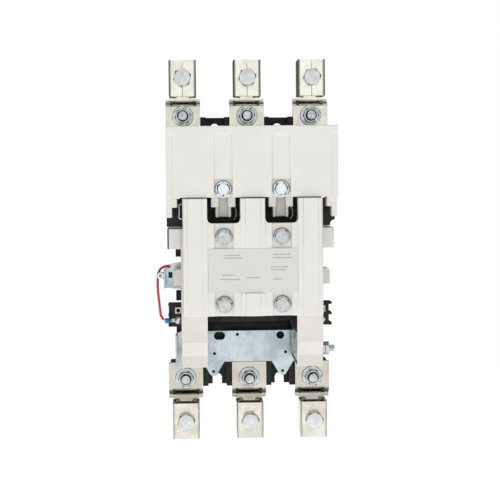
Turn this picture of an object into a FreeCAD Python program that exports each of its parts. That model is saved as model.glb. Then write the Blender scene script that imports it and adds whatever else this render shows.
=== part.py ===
import FreeCAD, Part
import Sketcher
import math
import os
from FreeCAD import Placement, Rotation, Vector

# Three-pole motor control contactor, millimetres.
# +Z is up, the front faces -Y and the back mounting face is the plane Y = 0.
# The origin is the middle of the four mounting points, on that back face.
# A depth is counted forwards from the back face, so a point at depth d has Y = -d.

doc = FreeCAD.newDocument("contactor")
sheet = doc.addObject("Spreadsheet::Sheet", "Sizes")


class Size:
    """A length with the sheet expression that it comes from."""

    def __init__(self, value, text):
        self.value = float(value)
        self.text = text

    def __add__(self, other):
        other = size_of(other)
        return Size(self.value + other.value, f"({self.text} + {other.text})")

    def __sub__(self, other):
        other = size_of(other)
        return Size(self.value - other.value, f"({self.text} - {other.text})")

    def __mul__(self, other):
        other = size_of(other)
        return Size(self.value * other.value, f"({self.text} * {other.text})")

    def __truediv__(self, other):
        other = size_of(other)
        return Size(self.value / other.value, f"({self.text} / {other.text})")

    def __neg__(self):
        return Size(-self.value, f"(0 - {self.text})")

    __radd__ = __add__
    __rmul__ = __mul__

    def __rsub__(self, other):
        return size_of(other) - self


def size_of(number):
    return number if isinstance(number, Size) else Size(number, f"({float(number)})")


row_count = 0


def size(name, value):
    """Write one driving dimension into the sheet and return it."""
    global row_count
    row_count += 1
    sheet.set(f"A{row_count}", name)
    sheet.set(f"B{row_count}", str(value))
    sheet.setAlias(f"B{row_count}", name)
    return Size(value, f"Sizes.{name}")


# Mounting pattern and poles
mount_half_width = size("mount_half_width", 31.75)
mount_half_height = size("mount_half_height", 127.0)
mount_hole_radius = size("mount_hole_radius", 4.7)
terminal_pitch = size("terminal_pitch", 63.5)
contact_pitch = size("contact_pitch", 52.8)
running_gap = size("running_gap", 0.4)
seat_gap = size("seat_gap", 0.1)

# Black base moulding
base_half_width = size("base_half_width", 66.5)
base_top = size("base_top", 137.5)
base_bottom = size("base_bottom", 133.0)
base_depth = size("base_depth", 24.0)
base_floor = size("base_floor", 8.0)
base_skin = size("base_skin", 6.0)
mount_pocket_width = size("mount_pocket_width", 18.2)
mount_pocket_end = size("mount_pocket_end", 112.0)
base_tab_reach = size("base_tab_reach", 6.0)
base_tab_height = size("base_tab_height", 9.5)
base_tab_top = size("base_tab_top", 7.6)
base_tab_middle = size("base_tab_middle", 36.5)
base_tab_low = size("base_tab_low", 70.0)
core_cell_width = size("core_cell_width", 26.0)
core_cell_height = size("core_cell_height", 30.0)
core_cell_wall = size("core_cell_wall", 5.0)

# Straps
strap_thick = size("strap_thick", 3.5)
strap_width = size("strap_width", 20.0)
terminal_width = size("terminal_width", 34.3)
contact_depth = size("contact_depth", 58.0)
strap_contact_length = size("strap_contact_length", 16.0)
line_strap_turn = size("line_strap_turn", 115.0)
load_strap_turn = size("load_strap_turn", 65.0)
tip_thick = size("tip_thick", 3.0)
tip_length = size("tip_length", 10.0)
tip_width = size("tip_width", 14.0)
line_stud_height = size("line_stud_height", 138.0)
load_stud_height = size("load_stud_height", 123.5)
platform_half = size("platform_half", 15.5)
line_shoulder_height = size("line_shoulder_height", 121.0)
load_shoulder_height = size("load_shoulder_height", 108.0)
line_platform_top = size("line_platform_top", 148.8)
tip_margin = size("tip_margin", 4.0)

# Lugs
lug_thick = size("lug_thick", 3.5)
lug_offset = size("lug_offset", 8.0)
lug_back_reach = size("lug_back_reach", 15.5)
line_ramp_start = size("line_ramp_start", 11.0)
load_ramp_start = size("load_ramp_start", 13.3)
lug_ramp_length = size("lug_ramp_length", 4.6)
line_shoulder = size("line_shoulder", 1.2)
load_shoulder = size("load_shoulder", 3.1)
neck_width = size("neck_width", 11.5)
neck_length = size("neck_length", 3.6)
neck_fillet = size("neck_fillet", 1.6)
cradle_radius = size("cradle_radius", 15.0)
cradle_sink = size("cradle_sink", 1.4)
collar_width = size("collar_width", 26.8)
collar_deep = size("collar_deep", 32.0)
collar_height = size("collar_height", 35.4)
collar_wall = size("collar_wall", 2.6)
collar_bend = size("collar_bend", 3.6)
collar_gap = size("collar_gap", 0.3)
collar_overlap = size("collar_overlap", 1.6)
lug_bend_slack = size("lug_bend_slack", 1.2)
pressure_flats = size("pressure_flats", 15.9)
pressure_head = size("pressure_head", 8.6)
pressure_radius = size("pressure_radius", 6.3)
pressure_thread = size("pressure_thread", 12.0)

# Studs, nuts and washers
stud_radius = size("stud_radius", 4.76)
stud_front = size("stud_front", 45.0)
stud_rear = size("stud_rear", 12.0)
stud_hole = size("stud_hole", 5.2)
nut_flats = size("nut_flats", 14.3)
nut_height = size("nut_height", 8.2)
washer_radius = size("washer_radius", 10.5)
washer_thick = size("washer_thick", 1.8)

# White pole base with its two legs
body_half_width = size("body_half_width", 66.0)
body_back = size("body_back", 40.0)
body_plate = size("body_plate", 4.0)
body_wall = size("body_wall", 3.5)
body_top = size("body_top", 120.0)
upper_plate_extra = size("upper_plate_extra", 6.5)
upper_wall_front = size("upper_wall_front", 84.0)
wall_top = size("wall_top", 29.4)
arc_boss_seam = size("arc_boss_seam", 109.0)
cover_boss_length = size("cover_boss_length", 10.0)
kick_spring_height = size("kick_spring_height", 44.0)
kick_post_radius = size("kick_post_radius", 4.2)
coil_window_top = size("coil_window_top", 42.0)
coil_window_bottom = size("coil_window_bottom", 70.0)
seam_height = size("seam_height", 50.0)
seam_depth = size("seam_depth", 127.0)
chamber_floor = size("chamber_floor", 61.0)
chamber_top = size("chamber_top", 117.0)
leg_width = size("leg_width", 24.2)
leg_bottom = size("leg_bottom", 100.6)
leg_slope_top = size("leg_slope_top", 77.0)
leg_slope_end = size("leg_slope_end", 90.0)
leg_slope_depth = size("leg_slope_depth", 6.0)
leg_back = size("leg_back", 46.0)
leg_wall = size("leg_wall", 3.0)
barrier_half = size("barrier_half", 2.0)
barrier_front = size("barrier_front", 90.0)
boss_radius = size("boss_radius", 5.8)
front_plate = size("front_plate", 4.0)
magnet_window_half = size("magnet_window_half", 44.0)
magnet_window_top = size("magnet_window_top", 22.0)
side_tab_width = size("side_tab_width", 7.0)
side_tab_top = size("side_tab_top", 8.4)
side_tab_height = size("side_tab_height", 15.0)
side_tab_deep = size("side_tab_deep", 16.0)

# Front cover
cover_half_width = size("cover_half_width", 63.8)
cover_front = size("cover_front", 155.0)
cover_wall = size("cover_wall", 3.0)
cover_top = size("cover_top", 57.6)
cover_bottom = size("cover_bottom", 49.6)
cover_face_wall = size("cover_face_wall", 5.0)
cover_edge = size("cover_edge", 1.0)
outer_column = size("outer_column", 52.8)
label_margin = size("label_margin", 0.3)
cover_step = size("cover_step", 1.0)
column_half = size("column_half", 6.8)
bay_inner = size("bay_inner", 11.3)
bay_outer = size("bay_outer", 41.4)
bay_floor = size("bay_floor", 34.9)
bay_corner = size("bay_corner", 4.0)
bay_wall_deep = size("bay_wall_deep", 14.0)
screw_pad_half = size("screw_pad_half", 8.6)
screw_pad_sink = size("screw_pad_sink", 1.8)
label_half = size("label_half", 40.8)
label_top = size("label_top", 11.9)
label_bottom = size("label_bottom", 28.3)
label_thick = size("label_thick", 0.6)
cover_screw_x = size("cover_screw_x", 26.4)
cover_screw_high = size("cover_screw_high", 22.8)
cover_screw_low = size("cover_screw_low", 39.0)
screw_shank = size("screw_shank", 3.0)
screw_hole = size("screw_hole", 3.25)
screw_flange = size("screw_flange", 8.1)
screw_flange_thick = size("screw_flange_thick", 1.4)
screw_flats = size("screw_flats", 11.8)
screw_head = size("screw_head", 4.4)
screw_grip = size("screw_grip", 32.0)
arc_screw_grip = size("arc_screw_grip", 46.0)

# Arc box
arc_half_width = size("arc_half_width", 78.3)
arc_top = size("arc_top", 123.4)
arc_bottom = size("arc_bottom", 58.5)
arc_front = size("arc_front", 151.0)
arc_back = size("arc_back", 35.0)
arc_wall = size("arc_wall", 3.2)
arc_floor_back = size("arc_floor_back", 114.0)
channel_half = size("channel_half", 8.2)
channel_top = size("channel_top", 116.0)
channel_sink = size("channel_sink", 1.6)
pad_top = size("pad_top", 74.8)
pad_sink = size("pad_sink", 4.6)
side_channel = size("side_channel", 6.3)
arc_screw_height = size("arc_screw_height", 66.0)
prong_outer = size("prong_outer", 11.2)
prong_bottom = size("prong_bottom", 49.5)
prong_front = size("prong_front", 141.0)
fork_half = size("fork_half", 7.2)
fork_bottom = size("fork_bottom", 40.2)
fork_front = size("fork_front", 136.0)
fork_groove = size("fork_groove", 4.4)
fork_back = size("fork_back", 119.0)
arc_tab_width = size("arc_tab_width", 9.6)
arc_tab_narrow = size("arc_tab_narrow", 4.8)

# Arc chutes
splitter_count = 8
splitter_pitch = size("splitter_pitch", 5.6)
splitter_thick = size("splitter_thick", 1.6)
splitter_low = size("splitter_low", 70.0)
splitter_half = size("splitter_half", 18.0)
chute_front = size("chute_front", 139.5)
chute_back = size("chute_back", 118.0)
splitter_notch = size("splitter_notch", 12.0)
cheek_thick = size("cheek_thick", 1.8)

# Magnet, coil and core cushion
magnet_middle = size("magnet_middle", 22.0)
stack_half = size("stack_half", 25.0)
core_half = size("core_half", 40.0)
core_back = size("core_back", 34.0)
core_front = size("core_front", 76.0)
core_yoke = size("core_yoke", 13.0)
core_side_leg = size("core_side_leg", 12.0)
core_middle_leg = size("core_middle_leg", 11.5)
cushion_thick = size("cushion_thick", 3.5)
travel = size("travel", 9.5)
contact_gap = size("contact_gap", 7.0)
armature_leg = size("armature_leg", 9.0)
armature_yoke = size("armature_yoke", 12.0)
bobbin_wall = size("bobbin_wall", 1.6)
bobbin_flange = size("bobbin_flange", 1.8)
coil_build = size("coil_build", 12.0)
coil_corner = size("coil_corner", 9.0)

# Crossbar, bridges and springs
bar_bottom = size("bar_bottom", 31.0)
bar_top = size("bar_top", 57.0)
bar_back = size("bar_back", 96.5)
bar_front = size("bar_front", 112.0)
bar_end = size("bar_end", 79.0)
bar_notch = size("bar_notch", 4.5)
arm_half = size("arm_half", 14.0)
arm_top = size("arm_top", 99.0)
arm_back = size("arm_back", 100.0)
arm_front = size("arm_front", 108.0)
cage_low = size("cage_low", 84.0)
cage_high = size("cage_high", 96.0)
cage_lip = size("cage_lip", 5.0)
cage_gap = size("cage_gap", 0.3)
saddle_half = size("saddle_half", 34.0)
bridge_half = size("bridge_half", 10.0)
bridge_thick = size("bridge_thick", 5.0)
saddle_thick = size("saddle_thick", 5.0)
spring_wire = size("spring_wire", 1.8)
contact_spring_radius = size("contact_spring_radius", 6.0)
contact_spring_turns = 4
kick_spring_radius = size("kick_spring_radius", 6.5)
kick_spring_turns = 6

# Coil terminal blocks, auxiliary housings and side hardware
coil_block_reach = size("coil_block_reach", 79.4)
coil_block_inner = size("coil_block_inner", 46.0)
coil_block_top = size("coil_block_top", 44.7)
coil_block_bottom = size("coil_block_bottom", 67.0)
coil_block_back = size("coil_block_back", 56.0)
coil_block_front = size("coil_block_front", 74.0)
coil_block_step = size("coil_block_step", 3.0)
clamp_size = size("clamp_size", 6.4)
clamp_height = size("clamp_height", 51.0)
clamp_x = size("clamp_x", 69.8)
clamp_thick = size("clamp_thick", 2.6)
coil_block_rib = size("coil_block_rib", 2.2)
terminal_shank = size("terminal_shank", 1.9)
terminal_head = size("terminal_head", 3.1)
terminal_head_height = size("terminal_head_height", 2.6)
terminal_screw_height = size("terminal_screw_height", 60.8)
aux_outer = size("aux_outer", 77.2)
aux_bottom = size("aux_bottom", 10.4)
aux_top = size("aux_top", 29.3)
aux_front = size("aux_front", 120.0)
aux_back = size("aux_back", 62.0)
aux_backing = size("aux_backing", 1.3)
aux_chamfer = size("aux_chamfer", 1.2)

# Carrier plate
plate_thick = size("plate_thick", 2.0)
plate_back = size("plate_back", 36.0)
plate_left = size("plate_left", 73.2)
plate_right = size("plate_right", 46.7)
plate_top = size("plate_top", 75.5)
plate_bottom = size("plate_bottom", 106.7)
plate_side_bottom = size("plate_side_bottom", 109.5)
ear_left = size("ear_left", 35.8)
ear_right = size("ear_right", 33.2)
ear_tip = size("ear_tip", 116.4)
ear_radius = size("ear_radius", 4.6)
ear_spread = size("ear_spread", 11.5)
plate_flange = size("plate_flange", 12.0)
relay_hole_height = size("relay_hole_height", 80.6)
relay_hole_radius = size("relay_hole_radius", 3.9)
relay_slot_x = size("relay_slot_x", 29.6)
relay_slot_length = size("relay_slot_length", 10.7)
relay_hole_x = size("relay_hole_x", 31.2)
small_hole = size("small_hole", 1.5)
carrier_screw_x = size("carrier_screw_x", 46.5)
carrier_screw_shank = size("carrier_screw_shank", 2.4)
pillar_radius = size("pillar_radius", 4.5)
plate_left_inner = -size("plate_left_inner", 62.0)
carrier_screw_height = size("carrier_screw_height", 90.5)
carrier_screw_radius = size("carrier_screw_radius", 6.2)

# Side bracket, connector, jumper lead and ring terminal
bracket_thick = size("bracket_thick", 1.5)
bracket_reach = size("bracket_reach", 83.0)
bracket_top = size("bracket_top", 3.6)
bracket_bottom = size("bracket_bottom", 29.1)
bracket_front = size("bracket_front", 80.0)
bracket_flange = size("bracket_flange", 12.0)
bracket_foot = size("bracket_foot", 14.0)
connector_height = size("connector_height", 16.3)
connector_radius = size("connector_radius", 3.4)
connector_length = size("connector_length", 5.6)
lead_radius = size("lead_radius", 1.2)
ring_sleeve = size("ring_sleeve", 6.4)
ring_sleeve_radius = size("ring_sleeve_radius", 2.6)
ring_thick = size("ring_thick", 1.0)
sleeve_gap = size("sleeve_gap", 6.6)
sleeve_depth = size("sleeve_depth", 77.0)

# Ground screw
ground_depth = size("ground_depth", 85.0)
ground_height = size("ground_height", 88.4)
ground_radius = size("ground_radius", 3.0)
ground_end = size("ground_end", 80.2)
ground_flats = size("ground_flats", 11.1)
ground_nut = size("ground_nut", 3.7)
ground_washer = size("ground_washer", 6.6)

doc.recompute()

FRONT = Vector(0, -1, 0)
UP = Vector(0, 0, 1)
RIGHT = Vector(1, 0, 0)
UPSIDE_DOWN = Rotation(Vector(0, 1, 0), 180)
SIDES = {"left": -1, "right": 1}
POLES = {"left": -1, "middle": 0, "right": 1}


# Drawing helpers

def bind(item, path, length):
    """Tie one property of an object to the sheet."""
    item.setExpression(path, size_of(length).text)


def place(item, x=0, y=0, z=0, rotation=None):
    """Give an object its bound place, with an optional turn."""
    item.Placement = Placement(Vector(0, 0, 0), rotation or Rotation())
    bind(item, "Placement.Base.x", x)
    bind(item, "Placement.Base.y", y)
    bind(item, "Placement.Base.z", z)
    return item


def block(name, x, depth, z):
    """A box between two X, two depths and two heights."""
    item = doc.addObject("Part::Box", name)
    bind(item, "Length", x[1] - x[0])
    bind(item, "Width", depth[1] - depth[0])
    bind(item, "Height", z[1] - z[0])
    return place(item, x[0], -size_of(depth[1]), z[0])


def rod(name, radius, length, x, depth, z, towards=FRONT, sides=12):
    """A round bar with a few flats, which starts at a point and runs forwards or right."""
    item = doc.addObject("Part::Prism", name)
    item.Polygon = sides
    bind(item, "Circumradius", radius)
    bind(item, "Height", length)
    return place(item, x, -size_of(depth), z, Rotation(UP, towards))


def hexagon(name, flats, length, x, depth, z, towards=FRONT):
    """A hexagonal prism with its width given across the flats."""
    return rod(name, size_of(flats) / math.sqrt(3), length, x, depth, z, towards, 6)


def joined(name, items):
    item = doc.addObject("Part::MultiFuse", name)
    item.Shapes = items
    item.Refine = True
    return item


def group(name, items):
    """Several separate solids kept together as one sub-part."""
    item = doc.addObject("Part::Compound", name)
    item.Links = items
    return item


def carved(name, body, tools):
    item = doc.addObject("Part::Cut", name)
    item.Base = body
    item.Tool = tools[0] if len(tools) == 1 else joined(f"{name}_tools", tools)
    item.Refine = True
    return item


class Moulding:
    """A solid body made of sketched outlines and round bars, added or taken away."""

    def __init__(self, name):
        self.name = name
        self.body = doc.addObject("PartDesign::Body", name)
        self.count = 0

    def numbered(self, word):
        self.count += 1
        return f"{self.name}_{word}_{self.count}"

    def sketch(self, plane, offset, loops):
        """A sketch on an origin plane. A loop is a list of corners or a circle."""
        origin = [f for f in self.body.Origin.OriginFeatures if f.Role == plane][0]
        sketch = self.body.newObject("Sketcher::SketchObject", self.numbered("sketch"))
        sketch.AttachmentSupport = [(origin, "")]
        sketch.MapMode = "FlatFace"
        bind(sketch, "AttachmentOffset.Base.z", offset)
        for loop in loops:
            if isinstance(loop, dict):
                self.draw_circle(sketch, loop)
            else:
                self.draw_corners(sketch, loop)
        return sketch

    def draw_corners(self, sketch, corners):
        first = sketch.GeometryCount
        total = len(corners)
        spots = [Vector(size_of(x).value, size_of(z).value, 0) for x, z in corners]
        for i in range(total):
            sketch.addGeometry(Part.LineSegment(spots[i], spots[(i + 1) % total]), False)
        for i in range(total):
            following = first + (i + 1) % total
            sketch.addConstraint(Sketcher.Constraint("Coincident", first + i, 2, following, 1))
        for i, (x, z) in enumerate(corners):
            self.fix(sketch, "DistanceX", first + i, 1, x)
            self.fix(sketch, "DistanceY", first + i, 1, z)

    def draw_circle(self, sketch, circle):
        x, z = circle["centre"]
        centre = Vector(size_of(x).value, size_of(z).value, 0)
        radius = size_of(circle["radius"])
        index = sketch.addGeometry(Part.Circle(centre, Vector(0, 0, 1), radius.value), False)
        self.fix(sketch, "DistanceX", index, 3, x)
        self.fix(sketch, "DistanceY", index, 3, z)
        number = sketch.addConstraint(Sketcher.Constraint("Radius", index, radius.value))
        sketch.renameConstraint(number, f"size_{number}")
        bind(sketch, f"Constraints.size_{number}", radius)

    def fix(self, sketch, kind, index, point, length):
        length = size_of(length)
        number = sketch.addConstraint(
            Sketcher.Constraint(kind, -1, 1, index, point, length.value))
        sketch.renameConstraint(number, f"size_{number}")
        bind(sketch, f"Constraints.size_{number}", length)

    def bar(self, word, ring, low, high, plane):
        """Add or cut a round bar with a few flats."""
        origin = [f for f in self.body.Origin.OriginFeatures if f.Role == plane][0]
        bar = self.body.newObject(f"PartDesign::{word}Prism", self.numbered(word.lower()))
        bar.AttachmentSupport = [(origin, "")]
        bar.MapMode = "FlatFace"
        bar.Polygon = ring["sides"]
        bind(bar, "AttachmentOffset.Base.x", ring["centre"][0])
        bind(bar, "AttachmentOffset.Base.y", ring["centre"][1])
        bind(bar, "AttachmentOffset.Base.z", low)
        bind(bar, "Circumradius", ring["radius"])
        bind(bar, "Height", size_of(high) - low)
        self.body.Tip = bar

    def pad(self, loops, low, high, plane="XZ_Plane"):
        """Add material from one distance of the plane to another."""
        rings, outlines = sorted_loops(loops)
        if outlines:
            pad = self.body.newObject("PartDesign::Pad", self.numbered("pad"))
            pad.Profile = self.sketch(plane, low, outlines)
            bind(pad, "Length", size_of(high) - low)
            self.body.Tip = pad
        for ring in rings:
            self.bar("Additive", ring, low, high, plane)
        return self

    def pocket(self, loops, low, high, plane="XZ_Plane"):
        """Take material away from one distance of the plane to another."""
        rings, outlines = sorted_loops(loops)
        if outlines:
            pocket = self.body.newObject("PartDesign::Pocket", self.numbered("pocket"))
            pocket.Profile = self.sketch(plane, low, outlines)
            pocket.Reversed = True
            bind(pocket, "Length", size_of(high) - low)
            self.body.Tip = pocket
        for ring in rings:
            wide = dict(ring, radius=size_of(ring["radius"]) / math.cos(math.pi / ring["sides"]))
            self.bar("Subtractive", wide, low, high, plane)
        return self

    def dress(self, kind, length, chosen):
        """Fillet or chamfer the edges of the tip that a test picks."""
        doc.recompute()
        tip = self.body.Tip
        names = [f"Edge{i + 1}" for i, edge in enumerate(tip.Shape.Edges) if chosen(edge)]
        feature = self.body.newObject(f"PartDesign::{kind}", self.numbered(kind.lower()))
        feature.Base = (tip, names)
        bind(feature, "Radius" if kind == "Fillet" else "Size", length)
        self.body.Tip = feature
        return self


def rectangle(x, z):
    return [(x[0], z[0]), (x[1], z[0]), (x[1], z[1]), (x[0], z[1])]


def rounded(corners, radius, chosen=None, steps=3):
    """Turn square corners of an outline into rounds made of a few straight runs."""
    spots = [Vector(size_of(x).value, size_of(z).value, 0) for x, z in corners]
    result = []
    for i, (x, z) in enumerate(corners):
        if chosen is not None and i not in chosen:
            result.append((x, z))
            continue
        back = (spots[i - 1] - spots[i]).normalize()
        onward = (spots[(i + 1) % len(spots)] - spots[i]).normalize()
        for step in range(steps + 1):
            angle = math.pi / 2 * step / steps
            reach = back * (1 - math.sin(angle)) + onward * (1 - math.cos(angle))
            result.append((x + radius * round(reach.x, 5), z + radius * round(reach.y, 5)))
    return result


def both_sides(x, z):
    """The same rectangle at the left and at the right of the middle plane."""
    return [rectangle(x, z), rectangle((-size_of(x[1]), -size_of(x[0])), z)]


def circle(x, z, radius, sides=12):
    """A round outline with a number of flats, or a true circle where that is 0."""
    return {"centre": (x, z), "radius": radius, "sides": sides}


def sorted_loops(loops):
    """The many-sided rounds, and the outlines that are sketched."""
    rings = [loop for loop in loops if isinstance(loop, dict) and loop["sides"]]
    return rings, [loop for loop in loops if loop not in rings]


def along(edge, direction):
    """True for a straight edge that is parallel to a direction."""
    if not isinstance(edge.Curve, Part.Line):
        return False
    return abs(edge.tangentAt(edge.FirstParameter).dot(direction)) > 0.999


def middle(edge):
    return edge.valueAt((edge.FirstParameter + edge.LastParameter) / 2)


def near(value, length, slack=0.05):
    return abs(value - size_of(length).value) < slack


# Black base moulding: straps and studs sit on it, pockets free the mounting screws

def base_moulding():
    base = Moulding("base_moulding")
    half = base_half_width
    base.pad([rectangle((-half, half), (-base_bottom, base_top))], 0, base_depth)
    # platforms under the six terminals
    for pole in POLES.values():
        x = (terminal_pitch * pole - platform_half, terminal_pitch * pole + platform_half)
        base.pad([rectangle(x, (line_shoulder_height, line_platform_top))], 0, base_depth)
        base.pad([rectangle(x, (-base_bottom, -load_shoulder_height))], 0, base_depth)
    pocket_half = mount_pocket_width / 2
    for sign in SIDES.values():
        middle_x = mount_half_width * sign
        x = (middle_x - pocket_half, middle_x + pocket_half)
        base.pocket([rectangle(x, (mount_pocket_end, base_top + 1))], base_floor, base_depth + 1)
        base.pocket([rectangle(x, (-base_bottom - 1, -mount_pocket_end))],
                    base_floor, base_depth + 1)
        slot = (middle_x - mount_hole_radius, middle_x + mount_hole_radius)
        base.pocket([rectangle(slot, (-base_bottom - 1, -mount_half_height))],
                    -1, base_floor + 1)
    for height, sides in ((mount_half_height, 0), (-mount_half_height, 16)):
        holes = [circle(mount_half_width * sign, height, mount_hole_radius, sides)
                 for sign in SIDES.values()]
        base.pocket(holes, -1, base_floor + 1)
    base_ridges(base)
    base_cells(base)
    bores = [circle(terminal_pitch * pole, height, stud_radius + seat_gap)
             for pole in POLES.values() for height in (line_stud_height, -load_stud_height)]
    base.pocket(bores, stud_rear, base_depth + 1)
    base.pocket([circle(carrier_screw_x * sign, -carrier_screw_height,
                        carrier_screw_shank + seat_gap) for sign in SIDES.values()],
                stud_rear, plate_back + 1)
    return base.body


def base_ridges(base):
    """Ridges carry the pole base, rails the magnet, pillars the carrier plate."""
    outer = (body_half_width - body_wall + 1, body_half_width)
    barrier = (contact_pitch / 2 - barrier_half, contact_pitch / 2 + barrier_half)
    base.pad(both_sides(barrier, (magnet_window_top + 2, body_top - 4)), base_depth, body_back)
    base.pad(both_sides(outer, (-coil_window_top, body_top - 4)), base_depth, body_back)
    rail = (strap_width / 2 + 4, core_half - 2)
    rail_z = (-magnet_middle - stack_half, stack_half - magnet_middle)
    base.pad(both_sides(rail, rail_z), base_depth, core_back - cushion_thick)
    pillars = [circle(carrier_screw_x * sign, -carrier_screw_height, pillar_radius)
               for sign in SIDES.values()]
    base.pad(pillars, base_depth, plate_back)
    # small lugs at the left edge guide the wiring
    tab = (-base_half_width - base_tab_reach, -base_half_width)
    for top in (base_tab_top, -base_tab_middle, -base_tab_low):
        base.pad([rectangle(tab, (top - base_tab_height, top))], base_floor, base_depth)


def base_cells(base):
    """The back is cored out in cells between ribs."""
    for column in (-1.5, -0.5, 0.5, 1.5):
        middle_x = (core_cell_width + core_cell_wall) * column
        x = (middle_x - core_cell_width / 2, middle_x + core_cell_width / 2)
        cells = []
        for row in (-2.5, -1.5, -0.5, 0.5, 1.5, 2.5):
            middle_z = (core_cell_height + core_cell_wall) * row
            z = (middle_z - core_cell_height / 2, middle_z + core_cell_height / 2)
            cells.append(rectangle(x, z))
        base.pocket(cells, -1, base_depth - base_skin)


# White pole base: back plate with windows, side walls, barriers and two hollow legs

def pole_base():
    body = Moulding("pole_base")
    half = body_half_width
    front = body_back + body_plate
    body.pad([rectangle((-half, half), (-seam_height, chamber_floor))], body_back, front)
    upper = body_half_width + upper_plate_extra
    body.pad([rectangle((-upper, upper), (chamber_floor, body_top))], body_back, front)
    windows = []
    for pole in POLES.values():
        x = contact_pitch * pole
        reach = strap_width / 2 + 1.5
        windows.append(rectangle((x - reach, x + reach), (chamber_floor + 2, chamber_top)))
    body.pocket(windows, body_back - 1, front + 1)
    window = magnet_window_half
    body.pocket([rectangle((-window, window), (-seam_height - 1, magnet_window_top))],
                body_back - 1, front + 1)
    wall = (half - body_wall, half)
    body.pad(both_sides(wall, (-seam_height, wall_top)), body_back, seam_depth)
    body.pad(both_sides(wall, (wall_top, chamber_floor)), body_back, upper_wall_front)
    body.pad([rectangle((-half, half), (-seam_height, wall_top))],
             seam_depth - front_plate, seam_depth)
    inner = magnet_window_half / 2
    body.pocket([rectangle((-inner, inner), (-seam_height + 20, wall_top - 14))],
                seam_depth - front_plate - 1, seam_depth + 1)
    barrier = (contact_pitch / 2 - barrier_half, contact_pitch / 2 + barrier_half)
    body.pad(both_sides(barrier, (chamber_floor, body_top)), front, barrier_front)
    bosses = [circle(cover_screw_x * sign, arc_screw_height, boss_radius)
              for sign in SIDES.values()]
    body.pad(bosses, front, arc_boss_seam)
    posts = [circle(cover_screw_x * sign, kick_spring_height, kick_post_radius)
             for sign in SIDES.values()]
    body.pad(posts, front, upper_wall_front - 4)
    spots = [(cover_screw_x * sign, height) for sign in SIDES.values()
             for height in (cover_screw_high, -cover_screw_low)]
    body.pad([circle(x, z, boss_radius) for x, z in spots],
             seam_depth - cover_boss_length, seam_depth - front_plate / 2)
    pole_base_legs(body)
    body.pocket([circle(x, z, screw_hole) for x, z in spots],
                seam_depth - cover_boss_length - 1, seam_depth + 1)
    body.pocket([circle(cover_screw_x * sign, arc_screw_height, screw_hole)
                 for sign in SIDES.values()], front + 4, arc_boss_seam + 1)
    tab = (half, half + side_tab_width)
    body.pad(both_sides(tab, (-side_tab_top - side_tab_height, -side_tab_top)),
             aux_front - side_tab_deep, aux_front)
    body.dress("Chamfer", side_tab_width / 3, lambda e: along(e, FRONT)
               and near(middle(e).z, -side_tab_top) and near(abs(middle(e).x), tab[1]))
    return body.body


def pole_base_legs(body):
    """Each leg is a hollow moulding, open at the back, with a sloped lower front."""
    half = body_half_width
    slope = seam_depth - leg_slope_depth
    profile = [(-leg_back, -seam_height + 1), (-seam_depth, -seam_height + 1),
               (-seam_depth, -leg_slope_top), (-slope, -leg_slope_end),
               (-slope, -leg_bottom), (-leg_back, -leg_bottom)]
    hollow = [(-leg_back + 1, -seam_height - 4), (leg_wall - seam_depth, -seam_height - 4),
              (leg_wall - seam_depth, -leg_slope_top), (leg_wall - slope, -leg_slope_end),
              (leg_wall - slope, leg_wall - leg_bottom), (-leg_back + 1, leg_wall - leg_bottom)]
    for low, high in ((half - leg_width, half), (-half, leg_width - half)):
        body.pad([profile], low, high, "YZ_Plane")
        body.pocket([hollow], low + leg_wall, high - leg_wall, "YZ_Plane")
    # the coil terminal blocks come out through a notch at the back of each side
    gap = (half - leg_width - 1, half + 1)
    body.pocket(both_sides(gap, (-coil_window_bottom, -coil_window_top)),
                body_back - 1, coil_block_front + 4)
    body.pocket([circle(-ground_depth, -ground_height, ground_radius + seat_gap)],
                half - leg_wall - 1, half + 1, "YZ_Plane")


# White front cover: a shallow box with three columns, two bays and screw pads

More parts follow.
